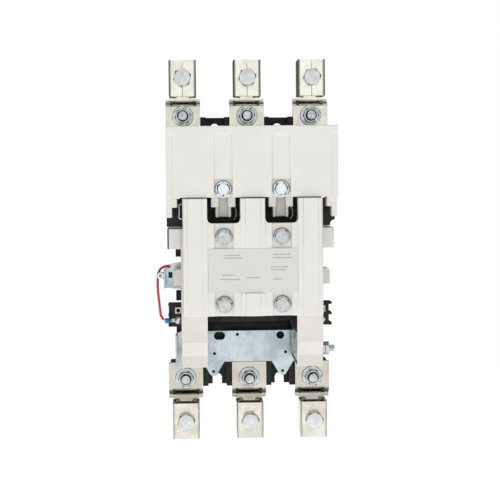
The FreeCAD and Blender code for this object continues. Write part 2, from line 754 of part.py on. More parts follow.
def front_cover():
    cover = Moulding("front_cover")
    half = cover_half_width
    bottom = -cover_bottom
    face = cover_front - cover_step
    inner = face - cover_face_wall
    outline = [(-half, bottom), (half, bottom), (half, cover_top), (bay_outer, cover_top),
               (bay_outer, bay_floor), (bay_inner, bay_floor), (bay_inner, cover_top),
               (-bay_inner, cover_top), (-bay_inner, bay_floor), (-bay_outer, bay_floor),
               (-bay_outer, cover_top), (-half, cover_top)]
    cover.pad([rounded(outline, bay_corner, (4, 5, 8, 9))], seam_depth, face)
    wall = cover_wall
    top = cover_top - wall
    floor = bay_floor - wall
    hollow = [(wall - half, bottom + wall), (half - wall, bottom + wall), (half - wall, top),
              (bay_outer + wall, top), (bay_outer + wall, floor), (bay_inner - wall, floor),
              (bay_inner - wall, top), (wall - bay_inner, top), (wall - bay_inner, floor),
              (-bay_outer - wall, floor), (-bay_outer - wall, top), (wall - half, top)]
    cover.pocket([hollow], seam_depth - 1, inner)
    cover.pocket([rectangle((wall - half, half - wall), (bottom + wall, cover_top + 1))],
                 seam_depth - 1, face - bay_wall_deep)
    spots = [(cover_screw_x * sign, height) for sign in SIDES.values()
             for height in (cover_screw_high, -cover_screw_low)]
    cover.pad([circle(x, z, boss_radius) for x, z in spots], seam_depth, inner + 1)
    low = face - cover_step
    cover.pocket(both_sides((bay_inner, bay_outer), (bottom - 1, bay_floor + 1)), low, face + 1)
    label = label_half + label_margin
    label_z = (-label_bottom - label_margin, label_top + label_margin)
    cover.pocket([rectangle((-label, label), label_z)], low, face + 1)
    pads = []
    for sign in SIDES.values():
        x = (cover_screw_x * sign - screw_pad_half, cover_screw_x * sign + screw_pad_half)
        pads.append(rectangle(x, (label_z[1], bay_floor + 1)))
        pads.append(rectangle(x, (bottom - 1, label_z[0])))
    cover.pocket(pads, low - screw_pad_sink, face + 1)
    cover.pad([rectangle((-column_half, column_half), (bottom, label_z[0])),
               rectangle((-column_half, column_half), (label_z[1], cover_top))],
              face, cover_front)
    column = (outer_column - column_half, outer_column + column_half)
    cover.pad(both_sides(column, (bottom, cover_top)), face, cover_front)
    cover.pocket([circle(x, z, screw_hole) for x, z in spots], seam_depth - 1, face + 1)
    cover.dress("Chamfer", cover_edge, lambda e: along(e, UP)
                and near(abs(middle(e).x), half) and near(-middle(e).y, face))
    return cover.body


def rating_plate():
    plate = Moulding("rating_plate")
    face = cover_front - cover_step * 2
    plate.pad([rectangle((-label_half, label_half), (-label_bottom, label_top))],
              face, face + label_thick)
    return plate.body


# White arc box over the three contact chambers

def arc_box():
    box = Moulding("arc_box")
    half = arc_half_width
    wall = arc_wall
    box.pad([rectangle((-half, half), (arc_bottom, arc_top))], arc_back, arc_front)
    box.pocket([rectangle((wall - half, half - wall), (arc_bottom + wall, arc_top - wall))],
               arc_back - 1, arc_front - wall)
    box.pocket([rectangle((wall - half, half - wall), (arc_bottom - 1, arc_bottom + wall + 1))],
               arc_back - 1, arc_floor_back)
    barrier = (contact_pitch / 2 - barrier_half, contact_pitch / 2 + barrier_half)
    box.pad(both_sides(barrier, (arc_screw_height + boss_radius + running_gap, arc_top - 2)),
            barrier_front + 1, arc_front - 2)
    bosses = [circle(cover_screw_x * sign, arc_screw_height, boss_radius)
              for sign in SIDES.values()]
    box.pad(bosses, arc_boss_seam + seat_gap, arc_front - 2)
    thick = (cover_screw_x - screw_pad_half - 1, cover_screw_x + screw_pad_half + 1)
    box.pad(both_sides(thick, (arc_bottom + 1, pad_top + 2)), arc_front - pad_sink - 4,
            arc_front - 2)
    channel = (cover_screw_x - channel_half, cover_screw_x + channel_half)
    box.pocket(both_sides(channel, (pad_top, channel_top)), arc_front - channel_sink,
               arc_front + 1)
    pad = (cover_screw_x - screw_pad_half, cover_screw_x + screw_pad_half)
    box.pocket(both_sides(pad, (arc_bottom - 1, pad_top)), arc_front - pad_sink, arc_front + 1)
    side = (half - side_channel, half + 1)
    box.pocket(both_sides(side, (arc_bottom - 1, channel_top)), arc_front - channel_sink,
               arc_front + 1)
    arc_box_forks(box)
    box.pocket([circle(cover_screw_x * sign, arc_screw_height, screw_hole)
                for sign in SIDES.values()], arc_boss_seam - 1, arc_front + 1)
    return box.body


def arc_box_forks(box):
    """Two forks and two corner tabs reach down in front of the crossbar."""
    x = cover_screw_x
    top = arc_bottom + 2
    for sides in (both_sides((x - prong_outer, x - fork_groove), (prong_bottom, top)),
                  both_sides((x + fork_groove, x + prong_outer), (prong_bottom, top))):
        box.pad(sides, fork_back, prong_front)
    for sides in (both_sides((x - fork_half, x - fork_groove), (fork_bottom, top)),
                  both_sides((x + fork_groove, x + fork_half), (fork_bottom, top))):
        box.pad(sides, fork_back, fork_front)
    box.pad(both_sides((x - fork_groove, x + fork_groove), (fork_bottom, top)),
            fork_back, fork_front - fork_half)
    outer = arc_half_width
    box.pad(both_sides((outer - arc_tab_width, outer), (prong_bottom, top)),
            fork_back, prong_front)
    box.pad(both_sides((outer - arc_tab_narrow, outer), (fork_bottom, top)),
            fork_back, fork_front)


# Copper straps, tin plated, with a silver tip on the contact end

def strap(name, side, line):
    """A strap runs from the terminal along the base and steps forward to its tip."""
    pole = POLES[side]
    strap_piece = Moulding(name)
    terminal = terminal_pitch * pole
    contact = contact_pitch * pole
    wide = platform_half
    narrow = strap_width / 2
    front = base_depth + strap_thick
    if line:
        up = 1
        shoulder = line_shoulder_height
        far = line_platform_top
        stud = line_stud_height
        turn = line_strap_turn
    else:
        up = -1
        shoulder = -load_shoulder_height
        far = -base_bottom
        stud = -load_stud_height
        turn = load_strap_turn
    inside = turn - strap_thick * up
    outline = [(contact - narrow, inside), (contact + narrow, inside),
               (contact + narrow, shoulder), (terminal + wide, shoulder),
               (terminal + wide, far), (terminal - wide, far),
               (terminal - wide, shoulder), (contact - narrow, shoulder)]
    strap_piece.pad([outline], base_depth, front)
    across = (contact - narrow, contact + narrow)
    strap_piece.pad([rectangle(across, (inside, turn))], base_depth, contact_depth)
    end = turn - strap_contact_length * up
    strap_piece.pad([rectangle(across, (end, turn))], contact_depth - strap_thick, contact_depth)
    strap_piece.dress("Chamfer", strap_thick / 2, lambda e: along(e, RIGHT)
                      and near(middle(e).z, turn) and near(-middle(e).y, contact_depth))
    tip_middle = turn - (tip_length / 2 + tip_margin) * up
    tip = [(contact - tip_width / 2, tip_middle - tip_length / 2),
           (contact + tip_width / 2, tip_middle - tip_length / 2),
           (contact + tip_width / 2, tip_middle + tip_length / 2),
           (contact - tip_width / 2, tip_middle + tip_length / 2)]
    strap_piece.pad([tip], contact_depth, contact_depth + tip_thick)
    strap_piece.pocket([circle(terminal, stud, stud_hole)], base_depth - 1, front + 1)
    if not line and pole:
        strap_piece.pocket([circle(carrier_screw_x * pole, -carrier_screw_height,
                                   pillar_radius + 1)], base_depth - 1, front + 1)
    return strap_piece.body


# Terminal lugs. Each is drawn with its stud at the origin and its wire end upwards

def lug_tongue(name, side, line):
    """A plate with an offset bend, a neck and a cradle that lies in the collar."""
    tongue = Moulding(name)
    ramp = line_ramp_start if line else load_ramp_start
    shoulder = line_shoulder if line else load_shoulder
    back = base_depth + strap_thick
    front = back + lug_thick
    rear = back - lug_offset
    ramp_end = ramp + lug_ramp_length
    wide_end = ramp_end + shoulder
    cradle_end = wide_end + neck_length + collar_height
    profile = [(-back, -lug_back_reach), (-back, ramp), (-rear, ramp_end), (-rear, cradle_end),
               (-rear - lug_thick, cradle_end), (-rear - lug_thick, ramp_end + lug_bend_slack),
               (-front, ramp + lug_bend_slack), (-front, -lug_back_reach)]
    half = terminal_width / 2
    tongue.pad([profile], -half, half, "YZ_Plane")
    neck = neck_width / 2
    cradle = collar_width / 2 - collar_wall - collar_gap
    neck_end = wide_end + neck_length
    tongue.pocket(both_sides((neck, half + 1), (wide_end, neck_end)), rear - 1, front + 1)
    tongue.pocket(both_sides((cradle, half + 1), (neck_end - 0.5, cradle_end + 1)),
                  rear - 1, front + 1)
    tongue.dress("Chamfer", neck_fillet, lambda e: along(e, FRONT)
                 and near(middle(e).z, wide_end) and near(abs(middle(e).x), neck))
    trough = circle(0, -rear - lug_thick + cradle_sink - cradle_radius, cradle_radius, 32)
    tongue.pocket([trough], wide_end - 1, cradle_end + 1, "XY_Plane")
    tongue.pocket([circle(0, 0, stud_hole)], back - 1, front + 1)
    return put_lug(tongue.body, side, line)


def put_lug(piece, side, line):
    """Carry a lug piece to its pole, and turn it over for the load side."""
    height = line_stud_height if line else -load_stud_height
    turn = Rotation() if line else UPSIDE_DOWN
    return place(piece, terminal_pitch * POLES[side], 0, height, turn)


def lug_collar(name, side, line):
    """A strap bent into a ring round the cradle, with the pressure screw in its front."""
    collar = Moulding(name)
    start = collar_start(line)
    half = collar_width / 2
    back = collar_back()
    front = back + collar_deep
    outline = rounded(rectangle((-half, half), (-front, -back)), collar_bend)
    collar.pad([outline], start, start + collar_height, "XY_Plane")
    hollow = rectangle((collar_wall - half, half - collar_wall),
                       (collar_wall - front, -back - collar_wall))
    collar.pocket([hollow], start - 1, start + collar_height + 1, "XY_Plane")
    middle_z = start + collar_height / 2
    collar.pocket([circle(0, middle_z, pressure_radius + seat_gap)],
                  front - collar_wall - 1, front + 1)
    return put_lug(collar.body, side, line)


def collar_start(line):
    ramp = line_ramp_start if line else load_ramp_start
    shoulder = line_shoulder if line else load_shoulder
    return ramp + lug_ramp_length + shoulder + neck_length - collar_overlap


def collar_back():
    return base_depth + strap_thick - lug_offset - collar_gap - collar_wall


# Fasteners

def terminal_spots():
    """X and height of the six terminal studs."""
    return [(terminal_pitch * pole, height) for pole in POLES.values()
            for height in (line_stud_height, -load_stud_height)]


def terminal_studs():
    studs = [rod(f"stud_{i}", stud_radius, stud_front - stud_rear - seat_gap, x,
                 stud_rear + seat_gap, z)
             for i, (x, z) in enumerate(terminal_spots())]
    return group("terminal_studs", studs)


def terminal_nuts():
    """Hex nuts with a pressed washer under each, one piece to the hand."""
    seat = base_depth + strap_thick + lug_thick
    nuts = []
    for i, (x, z) in enumerate(terminal_spots()):
        washer = rod(f"nut_washer_{i}", washer_radius, washer_thick, x, seat, z, FRONT, 18)
        nut = hexagon(f"nut_hex_{i}", nut_flats, nut_height, x, seat + washer_thick, z)
        bore = rod(f"nut_bore_{i}", stud_radius + seat_gap, nut_height + washer_thick + 2,
                   x, seat - 1, z)
        nuts.append(carved(f"nut_{i}", joined(f"nut_blank_{i}", [washer, nut]), [bore]))
    return group("terminal_nuts", nuts)


def pressure_screws():
    screws = []
    front = collar_back() + collar_deep
    for line in (True, False):
        reach = collar_start(line) + collar_height / 2
        height = line_stud_height + reach if line else -load_stud_height - reach
        for side, pole in POLES.items():
            tag = f"{side}_{'line' if line else 'load'}"
            x = terminal_pitch * pole
            head = hexagon(f"pressure_head_{tag}", pressure_flats, pressure_head, x,
                           front + running_gap, height)
            thread = rod(f"pressure_thread_{tag}", pressure_radius, pressure_thread, x,
                         front + running_gap - pressure_thread, height)
            screws.append(joined(f"pressure_screw_{tag}", [head, thread]))
    return group("pressure_screws", screws)


def flange_screw(tag, x, seat, z, grip):
    flange = rod(f"flange_{tag}", screw_flange, screw_flange_thick, x, seat, z, FRONT, 18)
    head = hexagon(f"head_{tag}", screw_flats, screw_head, x, seat + screw_flange_thick, z)
    shank = rod(f"shank_{tag}", screw_shank, grip, x, seat - grip, z)
    return joined(f"screw_{tag}", [flange, head, shank])


def arc_box_screws():
    seat = arc_front - pad_sink
    screws = [flange_screw(f"arc_{side}", cover_screw_x * sign, seat, arc_screw_height,
                           arc_screw_grip) for side, sign in SIDES.items()]
    return group("arc_box_screws", screws)


def cover_screws():
    seat = cover_front - cover_step * 2 - screw_pad_sink
    screws = []
    for side, sign in SIDES.items():
        for row, height in (("high", cover_screw_high), ("low", -cover_screw_low)):
            screws.append(flange_screw(f"cover_{side}_{row}", cover_screw_x * sign, seat,
                                       height, screw_grip))
    return group("cover_screws", screws)


# Arc chutes: steel splitter plates between two insulating cheeks

def arc_chute(name, side):
    chute = Moulding(name)
    x = contact_pitch * POLES[side]
    half = splitter_half
    deck = (x - half, x + half)
    top = splitter_low + splitter_pitch * (splitter_count - 1) + splitter_thick
    cheeks = [rectangle((x - half - cheek_thick, x - half), (splitter_low - 3, top + 3)),
              rectangle((x + half, x + half + cheek_thick), (splitter_low - 3, top + 3))]
    notch = splitter_notch / 2
    plate = [(deck[0], -chute_back), (x - notch, -chute_back),
             (x, -chute_back - splitter_notch), (x + notch, -chute_back),
             (deck[1], -chute_back), (deck[1], -chute_front), (deck[0], -chute_front)]
    for i in range(splitter_count):
        low = splitter_low + splitter_pitch * i
        chute.pad([plate], low, low + splitter_thick, "XY_Plane")
        if i == 0:
            chute.pad(cheeks, chute_back, chute_front)
    return chute.body


# Magnet: laminated E core and armature, coil on its bobbin, rubber cushions

def magnet_core():
    core = Moulding("magnet_core")
    half = core_half
    window = half - core_side_leg
    middle_leg = core_middle_leg
    floor = -core_back - core_yoke
    outline = [(-half, -core_back), (half, -core_back), (half, -core_front),
               (window, -core_front), (window, floor), (middle_leg, floor),
               (middle_leg, -core_front), (-middle_leg, -core_front), (-middle_leg, floor),
               (-window, floor), (-window, -core_front), (-half, -core_front)]
    core.pad([outline], -magnet_middle - stack_half, stack_half - magnet_middle, "XY_Plane")
    return core.body


def armature():
    piece = Moulding("armature")
    half = core_half
    window = half - core_side_leg
    middle_leg = core_middle_leg
    face = -core_front - travel - seat_gap
    yoke = face - armature_leg
    front = yoke - armature_yoke
    outline = [(-half, face), (-window, face), (-window, yoke), (-middle_leg, yoke),
               (-middle_leg, face), (middle_leg, face), (middle_leg, yoke), (window, yoke),
               (window, face), (half, face), (half, front), (-half, front)]
    piece.pad([outline], -magnet_middle - stack_half, stack_half - magnet_middle, "XY_Plane")
    return piece.body


def ring_loops(x_half, z_half):
    """A rectangle centred on the magnet."""
    return rectangle((-x_half, x_half), (-magnet_middle - z_half, z_half - magnet_middle))


def coil_bobbin():
    bobbin = Moulding("coil_bobbin")
    leg_x = core_middle_leg + running_gap
    leg_z = stack_half + running_gap
    back = core_back + core_yoke + running_gap
    x = leg_x + bobbin_wall
    z = leg_z + bobbin_wall
    bobbin.pad([ring_loops(x, z)], back, core_front)
    flange_x = core_half - core_side_leg - running_gap
    flange_z = z + coil_build + 1.4
    bobbin.pad([ring_loops(flange_x, flange_z)], back, back + bobbin_flange)
    bobbin.pad([ring_loops(flange_x, flange_z)], core_front - bobbin_flange, core_front)
    bobbin.pocket([ring_loops(leg_x, leg_z)], back - 1, core_front + 1)
    return bobbin.body


def coil_winding():
    coil = Moulding("coil_winding")
    x = core_middle_leg + running_gap + bobbin_wall
    z = stack_half + running_gap + bobbin_wall
    back = core_back + core_yoke + running_gap + bobbin_flange
    front = core_front - bobbin_flange
    coil.pad([rounded(ring_loops(x + coil_build, z + coil_build), coil_corner)], back, front)
    coil.pocket([ring_loops(x, z)], back - 1, front + 1)
    return coil.body


def core_cushions():
    low = core_back - cushion_thick
    z = (-magnet_middle - stack_half, stack_half - magnet_middle)
    rail = (strap_width / 2 + 4, core_half - 2)
    right = block("cushion_right", rail, (low, core_back), z)
    left = block("cushion_left", (-rail[1], -rail[0]), (low, core_back), z)
    return group("core_cushions", [left, right])


# Black crossbar: beam, three arms with cages for the bridges, saddle for the armature

def crossbar():
    bar = Moulding("crossbar")
    bar.pad([rectangle((-bar_end, bar_end), (bar_bottom, bar_top))], bar_back, bar_front)
    bar.pocket([circle(bar_end, bar_bottom + 1, bar_notch, 24)], bar_back - 1, bar_front + 1)
    lip = bridge_back() - cage_gap
    for pole in POLES.values():
        x = contact_pitch * pole
        across = (x - arm_half, x + arm_half)
        bar.pad([rectangle(across, (bar_top - 1, arm_top))], arm_back, arm_front)
        bar.pad([rectangle(across, (cage_low, cage_high))], lip - cage_lip, arm_back + 1)
        gap = bridge_half + running_gap
        bar.pocket([rectangle((x - gap, x + gap), (-arm_back, -lip))], cage_low - 1,
                   cage_high + 1, "XY_Plane")
    saddle_back = core_front + travel + seat_gap + armature_leg + armature_yoke + seat_gap
    low = -magnet_middle - stack_half
    bar.pad([rectangle((-saddle_half, saddle_half), (low - saddle_thick, bar_bottom + 1))],
            saddle_back, bar_front)
    bar.pad([rectangle((-saddle_half, saddle_half), (low - saddle_thick, low - seat_gap))],
            saddle_back - armature_yoke, bar_front)
    return bar.body


def bridge_back():
    """Depth of the bridge's back face when the contacts are open."""
    return contact_depth + tip_thick + contact_gap + tip_thick


def contact_bridge(name, side):
    bridge = Moulding(name)
    x = contact_pitch * POLES[side]
    back = bridge_back()
    low = load_strap_turn + tip_margin
    high = line_strap_turn - tip_margin
    across = (x - bridge_half, x + bridge_half)
    bridge.pad([rectangle(across, (low - 1, high + 1))], back, back + bridge_thick)
    tip = (x - tip_width / 2, x + tip_width / 2)
    bridge.pad([rectangle(tip, (low, low + tip_length)),
                rectangle(tip, (high - tip_length, high))], back - tip_thick, back)
    spot = circle(x, spring_height(), contact_spring_radius - spring_wire)
    bridge.pad([spot], back + bridge_thick, back + bridge_thick + 2.5)
    bridge.dress("Chamfer", bridge_thick / 3, lambda e: along(e, RIGHT)
                 and near(-middle(e).y, back + bridge_thick))
    return bridge.body


def spring_height():
    return (cage_low + cage_high) / 2


def coil_spring(name, x, z, back, front, radius, turns):
    """A compression spring of square section on an eight-sided helix."""
    wire = spring_wire.value / 2
    length = front.value - back.value - spring_wire.value
    steps = 8 * turns
    spots = []
    for i in range(steps + 1):
        angle = math.radians(45 * i)
        depth = back.value + wire + length * i / steps
        spots.append(Vector(radius.value * math.cos(angle), -depth,
                            radius.value * math.sin(angle)))
    path = Part.makePolygon(spots)
    start = spots[0]
    corners = []
    for i in range(5):
        angle = math.radians(90 * i)
        corners.append(start + Vector(wire * math.cos(angle), wire * math.sin(angle), 0))
    shell = Part.Wire(path.Edges).makePipeShell([Part.makePolygon(corners)], True, True, 1)
    item = doc.addObject("Part::Feature", name)
    item.Shape = shell
    return place(item, x, 0, z)


def contact_spring(name, side):
    back = bridge_back() + bridge_thick
    return coil_spring(name, contact_pitch * POLES[side], spring_height(), back, arm_back,
                       contact_spring_radius, contact_spring_turns)


def kickout_springs():
    springs = [coil_spring(f"kick_spring_{side}", cover_screw_x * sign, kick_spring_height,
                           body_back + body_plate, bar_back, kick_spring_radius,
                           kick_spring_turns) for side, sign in SIDES.items()]
    return group("kickout_springs", springs)


# Coil terminal blocks with their clamps and screws

def mirrored(x, sign):
    """Put an X range at the left or at the right."""
    return x if sign > 0 else (-size_of(x[1]), -size_of(x[0]))


def coil_terminal(name, side):
    sign = SIDES[side]
    blk = Moulding(name)
    z = (-coil_block_bottom, -coil_block_top)
    blk.pad([rectangle(mirrored((coil_block_inner, coil_block_reach), sign), z)],
            coil_block_back, coil_block_front)
    arm_z = (-coil_block_bottom + 5, -coil_block_top - 5.3)
    arm_x = (core_half - core_side_leg - running_gap, coil_block_inner + 1)
    blk.pad([rectangle(mirrored(arm_x, sign), arm_z)], coil_block_back + 4, coil_block_front - 4)
    # two notches leave three ribs at the outer edge
    middle_z = -(coil_block_top + coil_block_bottom) / 2
    rib = coil_block_rib
    notch_x = mirrored((coil_block_reach - coil_block_step, coil_block_reach + 1), sign)
    blk.pocket([rectangle(notch_x, (middle_z + rib / 2, z[1] - rib)),
                rectangle(notch_x, (z[0] + rib, middle_z - rib / 2))],
               coil_block_back - 1, coil_block_front + 1)
    bores = [circle(clamp_x * sign, -clamp_height, terminal_shank + seat_gap),
             circle(clamp_x * sign, -terminal_screw_height, terminal_shank + seat_gap)]
    blk.pocket(bores, coil_block_front - 9, coil_block_front + 1)
    return blk.body


def coil_terminal_clamps():
    """A square plated clamp sits over the upper hole of each block."""
    clamps = []
    for side, sign in SIDES.items():
        x = (clamp_x - clamp_size / 2, clamp_x + clamp_size / 2)
        z = (-clamp_height - clamp_size / 2, clamp_size / 2 - clamp_height)
        body = block(f"clamp_block_{side}", mirrored(x, sign),
                     (coil_block_front, coil_block_front + clamp_thick), z)
        hole = rod(f"clamp_hole_{side}", terminal_shank, clamp_thick + 2, clamp_x * sign,
                   coil_block_front - 1, -clamp_height)
        clamps.append(carved(f"clamp_{side}", body, [hole]))
    return group("coil_terminal_clamps", clamps)


def coil_terminal_screws():
    screws = []
    for side, sign in SIDES.items():
        seat = coil_block_front + ring_thick + seat_gap
        head = rod(f"terminal_head_{side}", terminal_head, terminal_head_height,
                   clamp_x * sign, seat, -terminal_screw_height)
        shank = rod(f"terminal_shank_{side}", terminal_shank, 8 + ring_thick, clamp_x * sign,
                    seat - 8 - ring_thick, -terminal_screw_height)
        screws.append(joined(f"terminal_screw_{side}", [head, shank]))
    return group("coil_terminal_screws", screws)


def aux_housing(name, side):
    """Auxiliary contact housing clipped to the side wall under the crossbar's end."""
    sign = SIDES[side]
    housing = Moulding(name)
    x = mirrored((body_half_width, aux_outer), sign)
    housing.pad([rectangle(x, (aux_bottom, aux_top))], aux_back, aux_front)
    housing.dress("Chamfer", aux_chamfer, lambda e: along(e, UP)
                  and near(abs(middle(e).x), aux_outer) and near(-middle(e).y, aux_front))
    return housing.body


def aux_backing_plate():
    return block("aux_backing_plate", (-aux_outer - aux_backing, -aux_outer),
                 (aux_back, aux_front - 4), (aux_bottom, aux_top))


# Zinc carrier plate for an overload relay

def carrier_plate():
    plate = Moulding("carrier_plate")
    back = plate_back
    front = plate_back + plate_thick
    bottom = -plate_bottom
    outline = [(-plate_left, -plate_top - 2.5), (-plate_left + 6, -plate_top),
               (plate_right, -plate_top), (plate_right, bottom), (plate_left_inner, bottom),
               (plate_left_inner, -plate_side_bottom), (-plate_left, -plate_side_bottom)]
    plate.pad([outline], back, front)
    for ear in (-ear_left, ear_right):
        slope = [(ear - ear_spread, bottom + 1), (ear + ear_spread, bottom + 1),
                 (ear + ear_radius * 0.9, -ear_tip - ear_radius * 0.4),
                 (ear - ear_radius * 0.9, -ear_tip - ear_radius * 0.4)]
        plate.pad([slope], back, front)
        plate.pad([circle(ear, -ear_tip, ear_radius, 16)], back, front)
    plate.pad([rectangle((-plate_left, plate_thick - plate_left),
                         (-plate_side_bottom, -plate_top - 2.5))], back,
              front + plate_flange)
    slot = (relay_slot_length - relay_hole_radius * 2) / 2
    for end in (-slot, slot):
        plate.pocket([circle(end - relay_slot_x, -relay_hole_height, relay_hole_radius, 16)],
                     back - 1, front + 1)
    plate.pocket([rectangle((-relay_slot_x - slot, slot - relay_slot_x),
                            (-relay_hole_height - relay_hole_radius,
                             relay_hole_radius - relay_hole_height))], back - 1, front + 1)
    plate.pocket([circle(relay_hole_x, -relay_hole_height, relay_hole_radius, 0)],
                 back - 1, front + 1)
    small = [(-11.7, -79.4), (-34.7, -98.4), (36.3, -97.6)]
    small += [(-ear_left, -ear_tip), (ear_right, -ear_tip)]
    holes = [circle(x, z, small_hole, 12) for x, z in small]
    plate.pocket(holes, back - 1, front + 1)
    plate.pocket([circle(-carrier_screw_x, -carrier_screw_height,
                         carrier_screw_shank + running_gap)], back - 1, front + 1)
    reach = carrier_screw_shank + running_gap
    plate.pocket([rectangle((carrier_screw_x - reach * 1.5, plate_right + 1),
                            (-carrier_screw_height - reach, reach - carrier_screw_height))],
                 back - 1, front + 1)
    return plate.body


def carrier_plate_screws():
    seat = plate_back + plate_thick
    screws = []
    for side, sign in SIDES.items():
        x = carrier_screw_x * sign
        washer = rod(f"carrier_washer_{side}", carrier_screw_radius, 1.2, x, seat,
                     -carrier_screw_height)
        head = rod(f"carrier_head_{side}", carrier_screw_radius * 0.7, 3.6, x, seat,
                   -carrier_screw_height)
        shank = rod(f"carrier_shank_{side}", carrier_screw_shank, seat - stud_rear - 2, x,
                    stud_rear + 2, -carrier_screw_height)
        screws.append(joined(f"carrier_screw_{side}", [washer, head, shank]))
    return group("carrier_plate_screws", screws)


# Side bracket with its connector, jumper lead and ring terminal at the left

def side_bracket():
    bracket = Moulding("side_bracket")
    wall = -body_half_width
    outer = -bracket_reach
    front = bracket_front
    outline = [(wall, -bracket_top), (outer, -bracket_top - 3.4), (outer, 0.8 - bracket_bottom),
               (wall, -bracket_bottom - 1)]
    bracket.pad([outline], front - bracket_thick, front)
    flange = [rectangle((outer, outer + bracket_thick), (0.8 - bracket_bottom, -bracket_top - 8))]
    bracket.pad(flange, front - bracket_thick, front + bracket_flange)
    foot = [rectangle((wall - bracket_thick, wall), (-bracket_bottom + 3, -bracket_top - 5))]
    bracket.pad(foot, front - bracket_foot, front)
    bracket.pocket([rectangle((outer + 4.4, outer + 8), (-19.0, -13.5))],
                   front - bracket_thick - 1, front + 1)
    return bracket.body


def bracket_connector():
    depth = bracket_front + bracket_flange / 2
    boss = rod("connector_body", connector_radius, connector_length,
               -bracket_reach - connector_length, depth, -connector_height, RIGHT)
    pin = rod("connector_pin", connector_radius * 0.45, 1.0,
              -bracket_reach - connector_length - 1, depth, -connector_height, RIGHT)
    return joined("bracket_connector", [boss, pin])


LEAD_POINTS = [(-77.5, -81.5, -8.2), (-79.8, -85.0, -7.4), (-83.6, -85.8, -7.9),
               (-87.5, -82.2, -11.3), (-89.2, -80.4, -19.0), (-89.1, -80.0, -31.0),
               (-87.8, -79.2, -43.5), (-87.0, -78.0, -52.6), (-86.2, -77.2, -57.2),
               (-83.7, -77.0, -59.9)]


def jumper_lead():
    """The lead's tube: straight runs joined by tangent arcs."""
    spots = [Vector(*spot) for spot in LEAD_POINTS]
    edges = []
    here = spots[0]
    radii = []
    for i in range(1, len(spots) - 1):
        before = spots[i] - spots[i - 1]
        after = spots[i + 1] - spots[i]
        turn = before.getAngle(after)
        cut = 0.45 * min(before.Length, after.Length)
        radii.append(cut / math.tan(turn / 2))
        enter = spots[i] - before.normalize() * cut
        leave = spots[i] + after.normalize() * cut
        bisector = (enter + leave) * 0.5 - spots[i]
        centre = spots[i] + bisector.normalize() * (radii[-1] / math.cos(turn / 2))
        top = centre + (spots[i] - centre).normalize() * radii[-1]
        edges.append(Part.LineSegment(here, enter).toShape())
        edges.append(Part.Arc(enter, top, leave).toShape())
        here = leave
    edges.append(Part.LineSegment(here, spots[-1]).toShape())
    path = Part.Wire(edges)
    start = (spots[1] - spots[0]).normalize()
    across = start.cross(UP).normalize()
    over = start.cross(across)
    corners = []
    for i in range(7):
        angle = math.radians(60 * i)
        corners.append(spots[0] + (across * math.cos(angle) + over * math.sin(angle))
                       * lead_radius.value)
    section = Part.makePolygon(corners)
    item = doc.addObject("Part::Feature", "jumper_lead")
    item.Shape = path.makePipeShell([section], True, True)
    ideal = Part.Face(section).Area * path.Length
    print("lead length", round(path.Length, 2), "radii", [round(r, 1) for r in radii],
          "volume ratio", round(item.Shape.Volume / ideal, 4))
    return item


def ring_terminal():
    x = -clamp_x
    z = -terminal_screw_height
    seat = coil_block_front + seat_gap
    ring = rod("ring_eye", terminal_head + 0.5, ring_thick, x, seat, z)
    tongue = block("ring_tongue", (x - sleeve_gap, x), (seat, seat + ring_thick),
                   (z - 1.8, z + 1.8))
    hole = rod("ring_hole", terminal_shank + seat_gap, ring_thick + 2, x, seat - 1, z)
    return carved("ring_terminal", joined("ring_blank", [ring, tongue]), [hole])


def terminal_sleeve():
    x = -clamp_x - sleeve_gap - ring_sleeve
    return rod("terminal_sleeve", ring_sleeve_radius, ring_sleeve, x, sleeve_depth,
               -terminal_screw_height, RIGHT)


# Ground screw with two nuts and a washer at the right leg

def ground_screw():
    start = body_half_width - leg_wall - 4
    return rod("ground_screw", ground_radius, ground_end - start, start, ground_depth,
               -ground_height, RIGHT)


def ground_nuts():
    x = body_half_width
    z = -ground_height
    washer = rod("ground_washer_disc", ground_washer, 1.4, x, ground_depth, z, RIGHT)
    first = hexagon("ground_nut_hex_1", ground_flats, ground_nut, x + 1.4, ground_depth, z, RIGHT)
    second = hexagon("ground_nut_hex_2", ground_flats, ground_nut, x + 1.6 + ground_nut,
                     ground_depth, z, RIGHT)
    items = []
    for number, blank in enumerate((washer, first, second)):
        bore = rod(f"ground_bore_{number}", ground_radius + seat_gap, 20, x - 1, ground_depth,
                   z, RIGHT)
        items.append(carved(f"ground_nut_{number}", blank, [bore]))
    return group("ground_nuts", items)


parts = {}
for build in (base_moulding, pole_base, front_cover, rating_plate, arc_box, arc_box_screws,
              cover_screws, terminal_studs, terminal_nuts, pressure_screws, magnet_core,
              armature, coil_bobbin, coil_winding, core_cushions, crossbar, kickout_springs,
              coil_terminal_clamps, coil_terminal_screws, aux_backing_plate, carrier_plate,
              carrier_plate_screws, side_bracket, bracket_connector, jumper_lead,
              ring_terminal, terminal_sleeve, ground_screw, ground_nuts):
    item = build()
    parts[item.Label] = item
for side in POLES:
    for line, word in ((True, "line"), (False, "load")):
        for build, noun in ((strap, "strap"), (lug_tongue, "lug"), (lug_collar, "collar")):
            item = build(f"{word}_{noun}_{side}", side, line)
            parts[item.Label] = item
    for build, noun in ((arc_chute, "arc_chute"), (contact_bridge, "contact_bridge"),
                        (contact_spring, "contact_spring")):
        item = build(f"{noun}_{side}", side)
        parts[item.Label] = item
for side in SIDES:
    for build, noun in ((coil_terminal, "coil_terminal"), (aux_housing, "aux_housing")):
        item = build(f"{noun}_{side}", side)
        parts[item.Label] = item

doc.recompute()

# Check every object, then write one file for each sub-part
for item in doc.Objects:
    if "Invalid" in item.State or "Error" in item.State:
        raise RuntimeError(f"{item.Label} failed: {item.State}")
os.makedirs("parts", exist_ok=True)
for label, item in parts.items():
    shape = item.Shape
    if shape.isNull() or not shape.isValid() or not shape.Solids:
        raise RuntimeError(f"{label} has no valid solid")
    shape.exportStep(f"parts/{label}.step")
print(len(parts), "sub-parts written")
